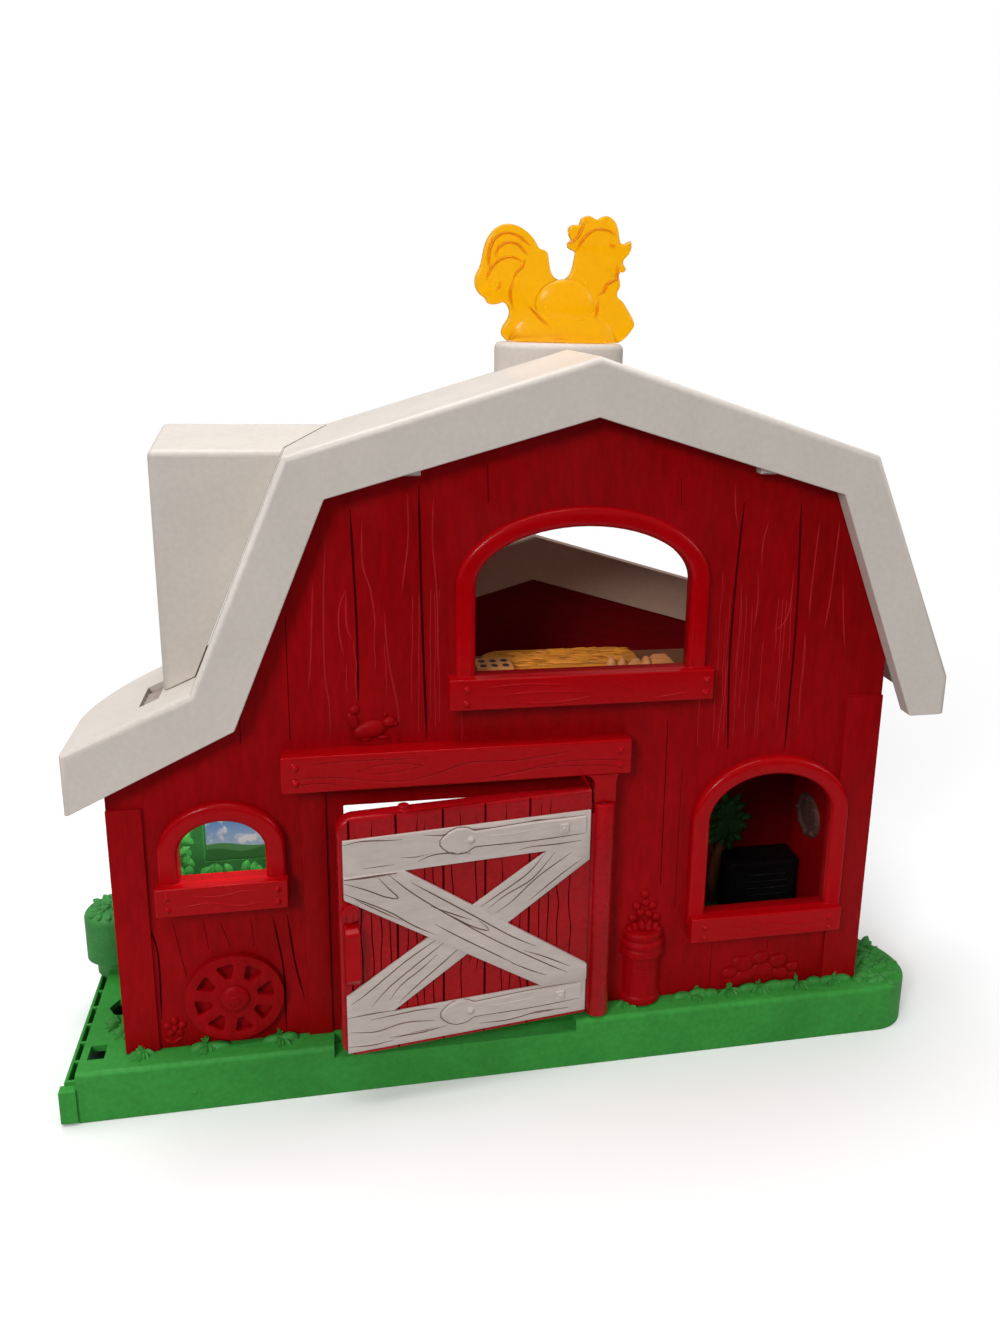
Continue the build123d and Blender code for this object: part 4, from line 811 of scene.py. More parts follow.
# %% Sills, rivets and grain
SILL_OUT = 9.0
on_sill = raised(on_wall, SILL_OUT)
SILL_LINES = [
    [(-39.7, 161.1), (-29.4, 161.9), (-12, 161.8), (-0.6, 161), (0.3, 159.2), (-13.7, 157.2), (-29.4, 157.5),
     (-39.7, 160.6)], [(-47, 164.9), (-30, 165.8), (-8, 164.9)],
    [(8.1, 165.7), (14.5, 162.6), (19, 161), (19.6, 158.3)],
    [(36.1, 164.4), (41.7, 161.3), (42.3, 159), (31, 157.2), (26.5, 157.2)],
    [(-48, 160.5), (-43.5, 158.2), (-46, 156.8)], [(66, 41.5), (78, 39.4), (92, 40.4), (104, 38.4), (117, 39.6)],
    [(64, 36.6), (80, 34.9), (96.5, 36.3), (110.4, 34.7), (119, 36.4)],
    [(-173, 79.2), (-160, 77.2), (-149, 78.9), (-139, 77.7)],
    [(-174, 73.4), (-162, 74.6), (-150, 72.2), (-139, 73.6)],
]
SILL_RIVETS = [
    (-53.7, 164.2), (-53.7, 158), (52.1, 164), (52, 158), (58.8, 40.8), (58.8, 35.4), (121.6, 40.4), (121.6, 35.2),
    (-179.2, 78.3), (-179.2, 72.6), (-134.4, 78.4), (-134.4, 72.7),
]
LINTEL_RIVETS = [(-125.2, 133.8), (-125.2, 126.8), (13.9, 133.6), (13.9, 126.7)]
sills = bmesh.new()
for line in SILL_LINES:
    bead(sills, on_sill, line, 0.4, 0.35)
for x, h in SILL_RIVETS:
    rivet(sills, on_sill, x, h, 1.35)
for x, h in LINTEL_RIVETS:
    rivet(sills, on_lintel, x, h, 1.5)
relief("sill_and_beam_relief", sills, frame_red_painted_light)

# %% [markdown]
# Small things are moulded into the red wall: a five-petalled flower by the wheel, a little animal sitting on the
# beam and rounded plants under the right sill. They are drawn plainly from lumps and leaves. Two flat lumps form the
# hub of the wheel.

# %% Small reliefs on the wall
FLOWER = (-181.3, 10.2)
WHEEL = (-155, 24)
ANIMAL = [  # x, h, half width, half height, rise, turn: body, hip, head, nose, ear, tail and feet
    (-93.5, 145.6, 7.2, 4.0, 2.2, 8), (-97.5, 144.4, 4.2, 3.6, 2.4, 0), (-86.2, 148.6, 3.3, 2.7, 2.6, 20),
    (-83.4, 147.9, 1.5, 1.1, 2.0, 0), (-87.4, 151.8, 0.9, 1.5, 1.4, 20), (-101.2, 149.8, 2.4, 4.6, 2.0, 18),
    (-100.6, 154.6, 2.8, 2.2, 1.8, 40), (-88.5, 141.9, 2.6, 1.0, 1.6, 0), (-96.5, 141.3, 3.0, 1.0, 1.6, 0),
]
PLANTS = [  # x, h, half width, half height, rise, turn
    (76, 9, 4.6, 3.4, 1.9, 10), (82.5, 13, 6.2, 4.6, 1.9, -12), (84, 6.5, 6.0, 4.0, 1.9, 8),
    (91.5, 15.5, 5.0, 3.6, 1.9, 20), (93, 8.5, 6.6, 4.8, 1.9, -6), (101, 13, 5.2, 4.0, 1.9, 14),
    (102.5, 6, 5.4, 3.6, 1.9, -16), (108.5, 9, 3.8, 3.0, 1.9, 0),
]
small = bmesh.new()
for k in range(5):
    a = math.radians(90 + 72 * k)
    lump(small, on_wall, FLOWER[0] + 3.1 * math.cos(a), FLOWER[1] + 3.1 * math.sin(a), 2.3, 1.8, 1.3, math.degrees(a))
lump(small, on_wall, *FLOWER, 1.7, 1.7, 2.0)
bead(small, on_wall, [(-181.6, 6.6), (-182.6, 3.6), (-182.2, 0.8)], 0.6, 0.8)
leaf(small, on_wall, -182.4, 2.0, 5.2, 2.2, 38, 0.9)
leaf(small, on_wall, -182.4, 2.0, 4.6, 2.2, 142, 0.9)
for shape in ANIMAL + PLANTS:
    lump(small, on_wall, *shape)
lump(small, raised(on_wall, 4.0), *WHEEL, 6.5, 6.5, 2.0, around=32)
lump(small, raised(on_wall, 5.4), *WHEEL, 2.8, 2.8, 1.2, around=20)
for x, h, wide in ((80, 5, 7), (94, 6, 8), (105, 4, 6)):
    lump(small, on_wall, x, h, wide, 4.2, 1.2)
relief("wall_relief", small, barn_red)

# %% [markdown]
# The milk can stands half out of the wall. Two upright seams and a rolled ridge between the hoops are added on its
# round face: `on_can` bends the flat drawing around the can's axis. Leaves and round flowers stand in its mouth.

# %% Milk can
CAN_X, CAN_D, CAN_H, CAN_R = 31.0, 2.8, 38.0, 9.7
CAN_LEAVES = [
    (-7, 9, 128), (-4.5, 12, 108), (-1.5, 13.5, 92), (2, 12.5, 74), (5, 10.5, 56), (7, 7.5, 38), (0, 9, 66),
    (-3, 8.5, 140), (3.5, 8, 104),
]
CAN_FLOWERS = [(-5.4, 44), (-1.8, 46.5), (2.4, 45.5), (6.2, 43.5), (-3.8, 50), (0.6, 51.5), (4.2, 49.6), (0.2, 56)]


def on_can(x, h, out):
    """The can's round body, x mm to the right of its axis along the surface."""
    radius = CAN_R + out
    a = max(-1.45, min(1.45, x / CAN_R))
    return spot(CAN_X + radius * math.sin(a), CAN_D - radius * math.cos(a), h)


can = bmesh.new()
for x in (-6.2, 5.4):
    bead(can, on_can, [(x, 6.2), (x, 14), (x, 23.8)], 0.55, 0.5)
    lump(can, on_can, x, 6.4, 0.9, 0.9, 0.9)
for h, rise in ((27.3, 1.5), (30.2, 1.35)):
    bead(can, on_can, [(x, h) for x in range(-12, 13, 3)], 0.7, rise, fade=1)
bead(can, on_can, [(-9, 20.2), (-4.5, 19.2), (0, 19.0), (4.5, 19.2), (9, 20.2)], 0.4, 0.45)
for k, (x, length, turned) in enumerate(CAN_LEAVES):
    leaf(can, raised(on_wall, 1.2 + 0.5 * (k % 3)), CAN_X + x * 0.75, CAN_H - 1.5, 0.55 * length, 4.4, turned, 1.6,
         curl=0.004 * (-1) ** k, sink=1.6)
for x, h in CAN_FLOWERS:
    lump(can, raised(on_wall, 1.4), CAN_X + x, h, 2.3, 2.1, 1.8, sink=1.6)
relief("can_relief", can, barn_red)

# %% [markdown]
# The stall door is five planks under white boards. The planks' joints are cut deep, and between them run the wavy
# lines of coarse grain, as grooves whose dark red is painted shade. They are drawn at random, but from a fixed seed,
# so that the door is the same each time.

# %% Door
def waver(mesh, place, x, low, high, width, depth, chance, sway):
    """An upright wavy groove near x, between the heights low and high."""
    count = max(3, round((high - low) / 9))
    line = [(x + chance.uniform(-sway, sway), low + (high - low) * k / count) for k in range(count + 1)]
    v_bar(mesh, place, line, width, depth)


DOOR_JOINTS = (-105.5, -86, -66, -47.5, -27.5)
DOOR_GRAIN = (-101, -97, -93, -89.5, -82, -78, -74, -70, -62, -58, -54, -51, -43.5, -39.5, -35.5, -31.5, -23, -18.5,
              -14, -8)
TOP_GRAIN = (-96, -77, -58.5, -38.5, -18)
chance = random.Random(11)
bars = bmesh.new()
for x in DOOR_JOINTS:
    v_bar(bars, on_door, [(x, 116), (x + 0.2, 60), (x, 3.6)], 1.0, 0.7, taper=False)
for x in DOOR_GRAIN:
    waver(bars, on_door, x, chance.uniform(5, 45), chance.uniform(62, 113), 0.5, 0.4, chance, 0.8)
for x in TOP_GRAIN:
    waver(bars, on_door, x, chance.uniform(96, 104), 114.5, 0.45, 0.35, chance, 0.6)
door = carve("door", "door_carved", door_red, bars, groove_red_painted_shade, 0.5)
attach(door, "door")

# %% [markdown]
# The white boards are the door's eye-catcher: rough sawn wood with dark grain that winds along each board and forks
# round knots. These listed lines follow the boards. The saltire's upper board lies 0.8 mm above the lower one, so
# each line is cut at its own board's height.

# %% Lines of the boards
RAIL_OUT, BRACE_OUT = 1.2, 2.0
on_rail, on_brace = raised(on_door, RAIL_OUT), raised(on_door, BRACE_OUT)
RAIL_LINES = [
    [(-108.5, 105), (-101, 106.1), (-89.5, 105), (-83.5, 104.6)],
    [(-75, 105.5), (-67.5, 104.2), (-59, 104.9), (-47.5, 105)], [(-77, 93.5), (-71, 95.5), (-63.5, 95.5), (-54, 94)],
    [(-32.5, 92.5), (-27, 93.2), (-16, 92.8), (-4, 93)], [(-98.5, 20.9), (-78.5, 21.6), (-69, 20.9)],
    [(-107, 16.4), (-96, 14.6), (-84, 16.5), (-70, 15)], [(-90.5, 10.5), (-75, 10.1), (-64.5, 11.3)],
    [(-108.8, 23.6), (-98, 23.9), (-88.5, 23.7)], [(-24, 27.2), (-12, 27.8), (-1, 28)],
    [(-108, 9.3), (-98, 8.2), (-88, 8.9)], [(-50, 9.2), (-36, 8.2), (-22, 9.6), (-8, 8.6)],
]
CROSS_LINES = [
    [(-20.5, 89.4), (-28.5, 80.5), (-44, 71), (-50, 67.5)], [(-16, 89), (-26.5, 77.5), (-38.5, 71.5), (-46.5, 66)],
    [(-8, 88), (-24, 78), (-35.5, 68), (-43, 63.5)], [(-67.5, 56), (-82.5, 47), (-100, 34), (-106.5, 30)],
    [(-64.5, 54), (-76.5, 45.5), (-90, 35.5), (-97.5, 27.5)], [(-69, 47.6), (-76.5, 41.5), (-85, 35.5), (-90, 29)],
    [(-58, 50), (-66, 43.5), (-78, 34), (-86, 27)], [(-3, 84), (-14, 77), (-28, 66.8)],
]
BRACE_LINES = [
    [(-108.5, 88.5), (-99, 84), (-91, 79.5), (-85.5, 78), (-89.5, 83), (-94, 89)],
    [(-109, 84), (-90, 72.5), (-80, 64.5), (-70, 58)],
    [(-89.5, 89.4), (-78, 78), (-59, 62.5), (-42.5, 50), (-19.5, 34.5), (-9, 28)],
    [(-80, 84.5), (-66, 74), (-52, 63.5), (-35.5, 51), (-24, 44)], [(-63, 66), (-53, 58.8), (-46, 56), (-51, 62)],
    [(-36, 38), (-26, 32), (-19, 28.4)], [(-72, 72), (-60, 65.5), (-54, 62.5)],
    [(-109, 89.8), (-98, 89.5), (-86, 89.8)], [(-70, 63), (-58, 54), (-46, 45.5), (-34, 37)],
    [(-30, 43), (-20, 38), (-8, 31)], [(-104, 80.5), (-96, 75), (-84, 67)],
]
print("board lines:", len(RAIL_LINES) + len(CROSS_LINES) + len(BRACE_LINES))

# %% [markdown]
# A few finer lines fill in at the ends of the rails from the fixed seed, and three deeper ones show where two boards
# meet. Round each strap hinge runs a fine groove, so the strap's outline is worked out first.

# %% Boards
bars = bmesh.new()
for place, lines in ((on_rail, RAIL_LINES + CROSS_LINES), (on_brace, BRACE_LINES)):
    for line in lines:
        v_bar(bars, place, line, 0.6, 0.42)
for low, high in ((91.5, 106), (7.5, 21)):
    for k in range(4):
        x, h = chance.uniform(-106, -80), chance.uniform(low, low + 5)
        if k > 1:
            x, h = chance.uniform(-50, -22), chance.choice((low + 1.2, high - 0.8))
        v_bar(bars, on_rail, [(x, h), (x + chance.uniform(5, 8), h + chance.uniform(-0.8, 0.8)),
                              (x + chance.uniform(12, 17), h)], 0.4, 0.3)
STRAPS = (100.6, 17.0)


def strap_outline(middle, grow=0.0):
    """A strap with a spade at its end, from the hinge round the tip and back."""
    upper = [(-2.0, 4.05 + grow), (-28, 4.3 + grow), (-52.5, 3.6 + grow), (-55.5, 5.4 + grow), (-60, 5.9 + grow),
             (-64 - grow / 2, 4.3 + grow),
             (-67.2 - grow, 1.2)]
    return [(x, middle + h) for x, h in upper] + [(x, middle - h) for x, h in reversed(upper)]


for place, line in ((on_brace, [(-109, 89.9), (-98, 89.8), (-86, 90)]),
                    (on_rail, [(-24, 27.2), (-12, 27.8), (-1, 28)]),
                    (on_rail, [(-108.8, 23.7), (-88.5, 23.7)])):
    v_bar(bars, place, line, 0.9, 0.5)
for middle in STRAPS:
    v_bar(bars, on_rail, strap_outline(middle, 0.35), 0.4, 0.32)
# The grooves' dark brown is grain colour on the grain lines and painted shade along the joints and round the straps.
boards = carve("door_boards", "door_boards_carved", board_white, bars, grain_brown_and_painted_shade, 0.3)
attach(boards, "door")

# %% [markdown]
# Each rail carries a strap hinge, moulded in the same white: a strap that narrows away from the hinge, a spade at its
# end, one square bolt and one round rivet. `plate` makes such a thin shape from its outline, with an edge that slopes
# as a mould needs.

# %% Strap hinges
PLATE_SINK = 0.1


def plate(mesh, place, outline, rise, slope):
    """A thin plate with sloping sides from a closed outline of (x, h)."""
    middle = Vector((sum(p[0] for p in outline) / len(outline), sum(p[1] for p in outline) / len(outline)))
    foot, top = [], []
    for k, p in enumerate(outline):
        here, before, after = Vector(p), Vector(outline[k - 1]), Vector(outline[(k + 1) % len(outline)])
        inward = Vector((-(after - before).y, (after - before).x)).normalized()
        if (middle - here).dot(inward) < 0:
            inward = -inward
        foot.append(mesh.verts.new(place(here.x, here.y, -PLATE_SINK)))
        top.append(mesh.verts.new(place(here.x + inward.x * slope, here.y + inward.y * slope, rise)))
    skin(mesh, [foot, top])
    cap(mesh, top, foot)


STRAP_RISE = 0.7
straps = bmesh.new()
for middle in STRAPS:
    plate(straps, on_rail, strap_outline(middle), STRAP_RISE, 0.4)
    on_strap = raised(on_rail, STRAP_RISE)
    bolt = [(-14.6, middle - 2.1), (-10.4, middle - 2.1), (-10.4, middle + 2.1), (-14.6, middle + 2.1)]
    plate(straps, on_strap, bolt, 1.1, 0.4)
    lump(straps, on_strap, -12.5, middle, 1.1, 1.1, 1.6)
    rivet(straps, on_strap, -54.2, middle, 1.5)
    bead(straps, on_strap, [(-50, middle + 1.1), (-36, middle + 0.4), (-20, middle + 1.3)], 0.25, 0.25)
relief("strap_hinges", straps, board_white, "door", "cream_plastic")

# %% [markdown]
# The weathercock is drawn here in full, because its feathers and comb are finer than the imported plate. The outline is
# a closed line of points round tail, back, comb, beak, wattle and breast. A filled curve turns it into a plate with
# rounded edges.

# %% Plate of the weathercock
VANE_D, TURRET_H, COCK_T, COCK_EDGE = 79.0, 305.0, 5.0, 1.3
COCK_OUTLINE = [
    (-25.5, 0.6), (-27.3, 2.4), (-28.0, 4.5), (-27.0, 7.3), (-25.2, 10.0), (-24.2, 13.0), (-24.6, 15.4),
    (-26.0, 17.3), (-27.4, 17.8), (-29.7, 16.9), (-32.3, 16.6), (-34.5, 17.3), (-35.6, 19.2), (-38.0, 21.0),
    (-39.9, 23.6), (-40.5, 27.0), (-39.8, 30.0), (-38.6, 32.2), (-37.5, 35.5), (-36.6, 40.0), (-35.3, 44.5),
    (-32.9, 48.4), (-29.5, 51.3), (-25.5, 52.4), (-20.7, 51.6), (-16.5, 49.3), (-13.1, 46.0), (-10.7, 42.2),
    (-8.6, 41.6), (-6.7, 40.2), (-6.0, 36.5), (-5.1, 32.2), (-3.2, 29.4), (0.0, 28.4), (3.0, 29.8), (4.9, 33.0),
    (6.0, 38.0), (6.4, 41.2), (4.6, 42.0), (2.8, 43.2), (2.8, 45.2), (4.3, 46.6), (3.2, 48.6), (3.0, 51.6),
    (4.9, 53.2), (7.8, 53.2), (8.9, 56.0), (11.8, 57.4), (14.4, 56.6), (16.1, 55.9), (18.0, 56.8), (20.5, 57.7),
    (23.0, 56.8), (25.3, 54.6), (26.5, 51.5), (27.3, 47.6), (28.2, 45.6), (30.4, 45.9), (32.6, 47.0), (33.2, 44.2),
    (32.0, 41.0), (29.7, 38.4), (29.6, 36.4), (30.9, 34.2), (30.0, 32.9), (28.2, 32.8), (27.5, 31.2), (28.0, 29.4),
    (28.3, 26.4), (27.1, 23.6), (27.4, 21.4), (30.0, 19.3), (33.0, 15.0), (35.6, 10.6), (35.8, 8.2), (33.2, 4.3),
    (30.2, 1.4), (28.6, 0.6),
]


def cock_plate():
    """The cock's plate with rounded edges, as a mesh object."""
    curve = bpy.data.curves.new("cock_outline", "CURVE")
    curve.dimensions, curve.fill_mode = "2D", "BOTH"
    line = curve.splines.new("POLY")
    run = smooth_run(COCK_OUTLINE, 1.2)
    line.points.add(len(run) - 1)
    for point, p in zip(line.points, run):
        point.co = (p.x * MM, p.y * MM, 0, 1)
    line.use_cyclic_u = True
    curve.extrude = (COCK_T / 2 - COCK_EDGE) * MM
    curve.bevel_depth, curve.bevel_resolution, curve.offset = COCK_EDGE * MM, 2, -COCK_EDGE * MM
    thing = bpy.data.objects.new("cock_plate", curve)
    bpy.context.scene.collection.objects.link(thing)
    bpy.context.view_layer.update()
    data = bpy.data.meshes.new_from_object(thing.evaluated_get(bpy.context.evaluated_depsgraph_get()))
    bpy.data.objects.remove(thing)
    stand = Matrix.Translation(spot(0, VANE_D, TURRET_H)) @ Matrix.Rotation(math.radians(90), 4, "X")
    data.transform(stand)
    mesh = bmesh.new()
    mesh.from_mesh(data)
    bmesh.ops.remove_doubles(mesh, verts=mesh.verts, dist=0.00002)
    return new_thing("cock_plate", mesh, amber)


plate_of_cock = cock_plate()
print("cock plate", [round(side / MM, 1) for side in plate_of_cock.dimensions], "mm")

# %% [markdown]
# The cock sits on a mound, and a spindle under it turns in the turret. Both are stacks of oval rings. Its wings are
# half sunk eggs, one on each side.

# %% Mound, spindle and wings
def stack(name, rings):
    """A closed amber body over rings of places, from the lowest up."""
    mesh = bmesh.new()
    rows = [[mesh.verts.new(p) for p in ring] for ring in rings]
    skin(mesh, rows)
    cap(mesh, rows[0], rows[-1])
    return new_thing(name, mesh, amber)


def oval_ring(x, wide, deep, h, around):
    """Places round an upright axis at x, wide to the sides and deep to front and back."""
    turns = [2 * math.pi * k / around for k in range(around)]
    return [spot(x + wide * math.cos(a), VANE_D + deep * math.sin(a), h) for a in turns]


SPINDLE = [(2.4, 284.3), (3.0, 285.0), (3.0, 309.0)]
MOUND_X, MOUND_FOOT, MOUND_TALL, MOUND_ROWS = 1.5, 0.4, 15.1, 8
WING_X, WING_OUT, WING_H = 2.1, 2.2, 17.6
WING_WIDE, WING_DEEP, WING_TALL = 14.0, 3.5, 11.3
mound = []
for k in range(MOUND_ROWS + 1):
    t = k / MOUND_ROWS
    wide = 27.0 - 4.0 * t - 0.6 * (k == MOUND_ROWS)
    deep = 3.2 + 6.8 * (1 - t) ** 1.5
    mound.append(oval_ring(MOUND_X, wide, deep, TURRET_H + MOUND_FOOT + MOUND_TALL * t, 48))
parts = [stack("cock_mound", mound), stack("cock_spindle", [oval_ring(0, r, r, h, 40) for r, h in SPINDLE])]
for side in (-1, 1):
    wing = bmesh.new()
    bmesh.ops.create_uvsphere(wing, u_segments=40, v_segments=24, radius=1.0)
    for v in wing.verts:
        v.co = spot(WING_X + WING_WIDE * v.co.x, VANE_D + side * WING_OUT + WING_DEEP * v.co.y,
                    TURRET_H + WING_H + WING_TALL * v.co.z)
    parts.append(new_thing("cock_wing", wing, amber))
print("parts to join:", [part.name for part in parts])

# %% [markdown]
# Booleans join the plate to the mound, the spindle and the wings, so that the clear plastic is one body with nothing
# hidden inside: light would show every inner face.

# %% Join the weathercock
for part in parts:
    join = plate_of_cock.modifiers.new("join", "BOOLEAN")
    join.operation, join.solver, join.object = "UNION", "EXACT", part
    settle(plate_of_cock, 40)
    bpy.data.objects.remove(part)
plate_of_cock.name = "weathercock_carved"
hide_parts("weathercock")
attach(plate_of_cock, "vane")
print("cock faces", len(plate_of_cock.data.polygons))

# %% [markdown]
# Feathers, comb line, eye, wattle and the grass at its feet are raised lines and lumps, the same on both faces, since
# the mould's two halves were cut alike.

# %% Feathers
FEATHERS = [
    [(-31, 37.5), (-30, 41), (-27.5, 43.5), (-24, 44.3), (-20.5, 43.5), (-18, 41), (-16, 39)],
    [(-35, 27.5), (-33, 32.5), (-29.5, 36), (-25, 37.8), (-21.5, 37.5), (-18.5, 36)],
    [(-17, 37.5), (-18, 34.5), (-21.5, 30.5), (-22.5, 27.5)], [(-30.5, 22.5), (-29, 24.5), (-28, 27.5)],
    [(-35.5, 20.5), (-32.5, 21)],
    [(7.5, 41.5), (8.5, 44.5), (11, 48), (14.5, 50.8), (18, 51.6), (22.5, 51), (25.2, 49)],
    [(26.6, 36.5), (26.8, 33), (26.4, 29.5), (23.5, 28), (21.5, 26.5), (20.5, 23.5), (17.5, 22)],
    [(18.5, 20), (17.5, 15.5), (17, 10.5)], [(-15, 16.5), (-11.5, 12.5), (-8, 9), (-4.5, 6.5)],
    [(-22.5, 27.5), (-24, 21.5), (-22.5, 15.5)],
    [(-33.8, 33), (-33.8, 40), (-31.3, 45.6), (-26.5, 48.3), (-20.5, 47.3), (-15, 43)],
    [(4.6, 44.4), (8, 49), (10.6, 54.4)], [(19.5, 53.6), (20.8, 55.6)],
]
for side, tag in ((-1, "front"), (1, "back")):
    def on_cock(x, h, out, side=side):
        return spot(x, VANE_D + side * (COCK_T / 2 + out), TURRET_H + h)

    lines = bmesh.new()
    for line in FEATHERS:
        bead(lines, on_cock, line, 0.5, 0.45, step=1.5)
    lump(lines, on_cock, 24, 44.5, 0.8, 0.8, 0.7)
    relief("cock_feathers_" + tag, lines, amber, "vane", "amber_plastic")

# %% [markdown]
# Leaves, grass and small lumps are moulded on the green base at the foot of the wall. They stay clear of the door's
# path and rise only a few millimetres.

# %% Plants on the base
def on_ground(x, d, out):
    """The top of the base."""
    return spot(x, d, out)


chance = random.Random(5)
tufts = bmesh.new()
TUFTS = [
    (-195, -4.6, 90, 6), (-168, -4.4, 90, 7), (-136, -4.6, 90, 6), (24, -4.6, 90, 5), (59, -4.8, 90, 6),
    (76, -4.6, 90, 5), (91, -4.4, 90, 7), (112, -4.8, 90, 5), (130, -4.6, 90, 6), (152, 4, 200, 7), (157, 20, 190, 6),
    (151, 36, 180, 6), (-212.5, 22, 0, 5), (-207.5, 14, 20, 5),
]
for x, d, aim, count in TUFTS:
    for k in range(count):
        turned = aim + 180 + (k - (count - 1) / 2) * 150 / count + chance.uniform(-7, 7)
        foot = Vector((x, d)) + Vector((math.cos(math.radians(aim)), math.sin(math.radians(aim)))) * 3.6
        leaf(tufts, on_ground, foot.x, foot.y, chance.uniform(5.2, 7.6), 3.1, turned, chance.uniform(1.5, 2.3),
             curl=chance.uniform(-0.03, 0.03))
for x, d, wide in ((143, -3.5, 3.4), (147, -0.5, 4.0), (150.5, 3.5, 3.2), (154, 10, 3.6), (156, 15, 3.0)):
    lump(tufts, on_ground, x, d, wide, wide * 0.8, 2.2, chance.uniform(0, 90))
for x in (52, 60, 66, 86, 93, 99, 106, 120, 127, 134, -171, -164, -139, -133, -196):
    lump(tufts, on_ground, x, -1.9, chance.uniform(4.5, 6.5), 2.6, chance.uniform(2.2, 3.8), sink=0.4)
for row in range(5):
    for k in range(7):
        x, d = 147.5 + row * 4.4 + chance.uniform(-1, 1), -5 + k * 5.0 + 2.4 * (row % 2) + chance.uniform(-1, 1)
        if x + 0.25 * abs(d - 8) < 165.5 and d < 32:
            leaf(tufts, on_ground, x, d, chance.uniform(6.0, 8.5), 4.2, chance.uniform(-70, 40),
                 chance.uniform(1.6, 2.4), curl=0.03, sink=0.4)
relief("base_plants", tufts, grass_green, "barn", "green_plastic")

# %% [markdown]
# Blades of grass also stand against the wall's foot in green, as if the base's moulding lapped up. They are drawn on
# the wall's face, about a millimetre thick.

# %% Grass against the wall
blades = bmesh.new()
for x in (-196, -168.5, -137, 24.5, 60, 76.5, 91.5, 111, 130.5):
    for k in range(5):
        turned = 90 + (k - 2) * 24 + chance.uniform(-5, 5)
        out = 1.6 if x < -188 or x > 124 else 0.2
        leaf(blades, raised(on_wall, out), x + (k - 2) * 0.9, -0.2, chance.uniform(3.2, 5.6), 1.7, turned, 1.1,
             sink=0.4)
relief("grass_at_wall", blades, grass_green, "barn", "green_plastic")

# %% [markdown]
# The bush's top is a mat of leaves that lap over one another, and its sides are smooth. Leaves go down in rings
# round each of its three lumps, outer ring first, tilted like roof tiles by their lift.

# %% Leaves of the bush
BUSH_H, BUSH_LEFT = 31.0, -226.5
BUSH_LUMPS = ((-219.0, ROOM_D - 6.5, 13.0), (-212.0, ROOM_D + 1.5, 12.0), (-209.0, ROOM_D - 11.5, 9.0))
bush = bmesh.new()
for x, d, radius in BUSH_LUMPS:
    for ring, reach, count in ((0, radius - 4.6, 13), (1, radius - 7.4, 9), (2, 1.2, 5)):
        for k in range(count):
            a = 2 * math.pi * (k + chance.uniform(-0.2, 0.2)) / count
            place = raised(on_ground, BUSH_H + 0.35 * ring)
            px, pd = x + reach * math.cos(a), d + reach * math.sin(a)
            if px < BUSH_LEFT or pd > ROOM_D + 12:
                continue
            leaf(bush, place, px, pd, 4.4, 3.3, math.degrees(a) + chance.uniform(-18, 18), 0.9, sink=0.5 + 0.4 * ring)
relief("bush_leaves", bush, leaf_green, "barn", "leaf_plastic")

# %% [markdown]
# Inside the stall the hedge is leafy too. It looks bright through the small window, so its leaves are painted a
# brighter green than the hedge outside, as painted light. They leave room for the printed sheet, and a narrow ridge
# frames it.

# %% Leaves in the stall
def on_hedge(x, h, out):
    """The hedge's face inside the stall."""
    return spot(x, ROOM_D - out, h)


# The brighter green is painted light on the stall's hedge.
stall_green_painted_light = moulding("stall_green_painted_light", (0.10, 0.52, 0.10), drift=0.25, fleck=0.14, rough=(0.42, 0.62), cloud=60.0,
                       shine=0.2)
stall = bmesh.new()
for row in range(11):
    for k in range(13):
        x = -195 + k * 5.0 + 2.4 * (row % 2) + chance.uniform(-0.8, 0.8)
        h = 22 + row * 6.0 + chance.uniform(-0.9, 0.9)
        if -178 < x < -143 and 43 < h < 75 or x > -134:
            continue
        leaf(stall, on_hedge, x, h, 6.8, 4.4, 90 + chance.uniform(-60, 60), chance.uniform(1.0, 1.7))
SHEET_FRAME = (((-175.4, 47.4), (-143.6, 47.4)), ((-175.4, 72.8), (-143.6, 72.8)),
               ((-175.2, 47.4), (-175.2, 72.8)), ((-143.8, 47.4), (-143.8, 72.8)))
for line in SHEET_FRAME:
    bead(stall, on_hedge, line, 0.9, 1.0, fade=1)
relief("stall_leaves", stall, stall_green_painted_light, "barn", "leaf_plastic")

# %% [markdown]
# On the loft floor stand a crate with oval holes, a round peg and a hay fork lying in the straw, all moulded with the
# tan floor. They are rounded solids, since small hands play there.

# %% Things in the loft
LOFT_H = 160.0


def on_loft(x, d, out):
    """The top of the loft's floor."""
    return spot(x, d, LOFT_H + out)


loft = bmesh.new()
CRATE_FRONT, CRATE_TALL = 9.5, 7.4
crate = [(-47.5, CRATE_FRONT), (-30.5, CRATE_FRONT), (-30.5, 24), (-47.5, 24)]
plate(loft, on_loft, crate, CRATE_TALL, 0.7)
for h in (2.6, 5.2):
    bead(loft, lambda x, v, out: spot(x, CRATE_FRONT + 0.3 - out, LOFT_H + v), [(-47, h), (-39, h), (-31, h)],
         0.6, 0.7, fade=1)
lump(loft, on_loft, 14.4, 14.5, 3.0, 3.0, 9.4, rows=7)
lump(loft, on_loft, 14.4, 14.5, 4.4, 4.4, 3.0)
for d in (11.5, 15.0, 18.5):
    bead(loft, on_loft, [(30, d), (38, d + 0.3), (46.5, d)], 1.2, 8.4, fade=1.5)
bead(loft, on_loft, [(19, 15), (25, 14.6), (32, 15)], 2.0, 8.0, fade=2)
lump(loft, on_loft, 31, 15, 3.0, 5.4, 8.6)
lump(loft, on_loft, 19.6, 14.8, 2.8, 2.8, 8.8)
relief("loft_things", loft, loft_tan, "barn", "tan_plastic")
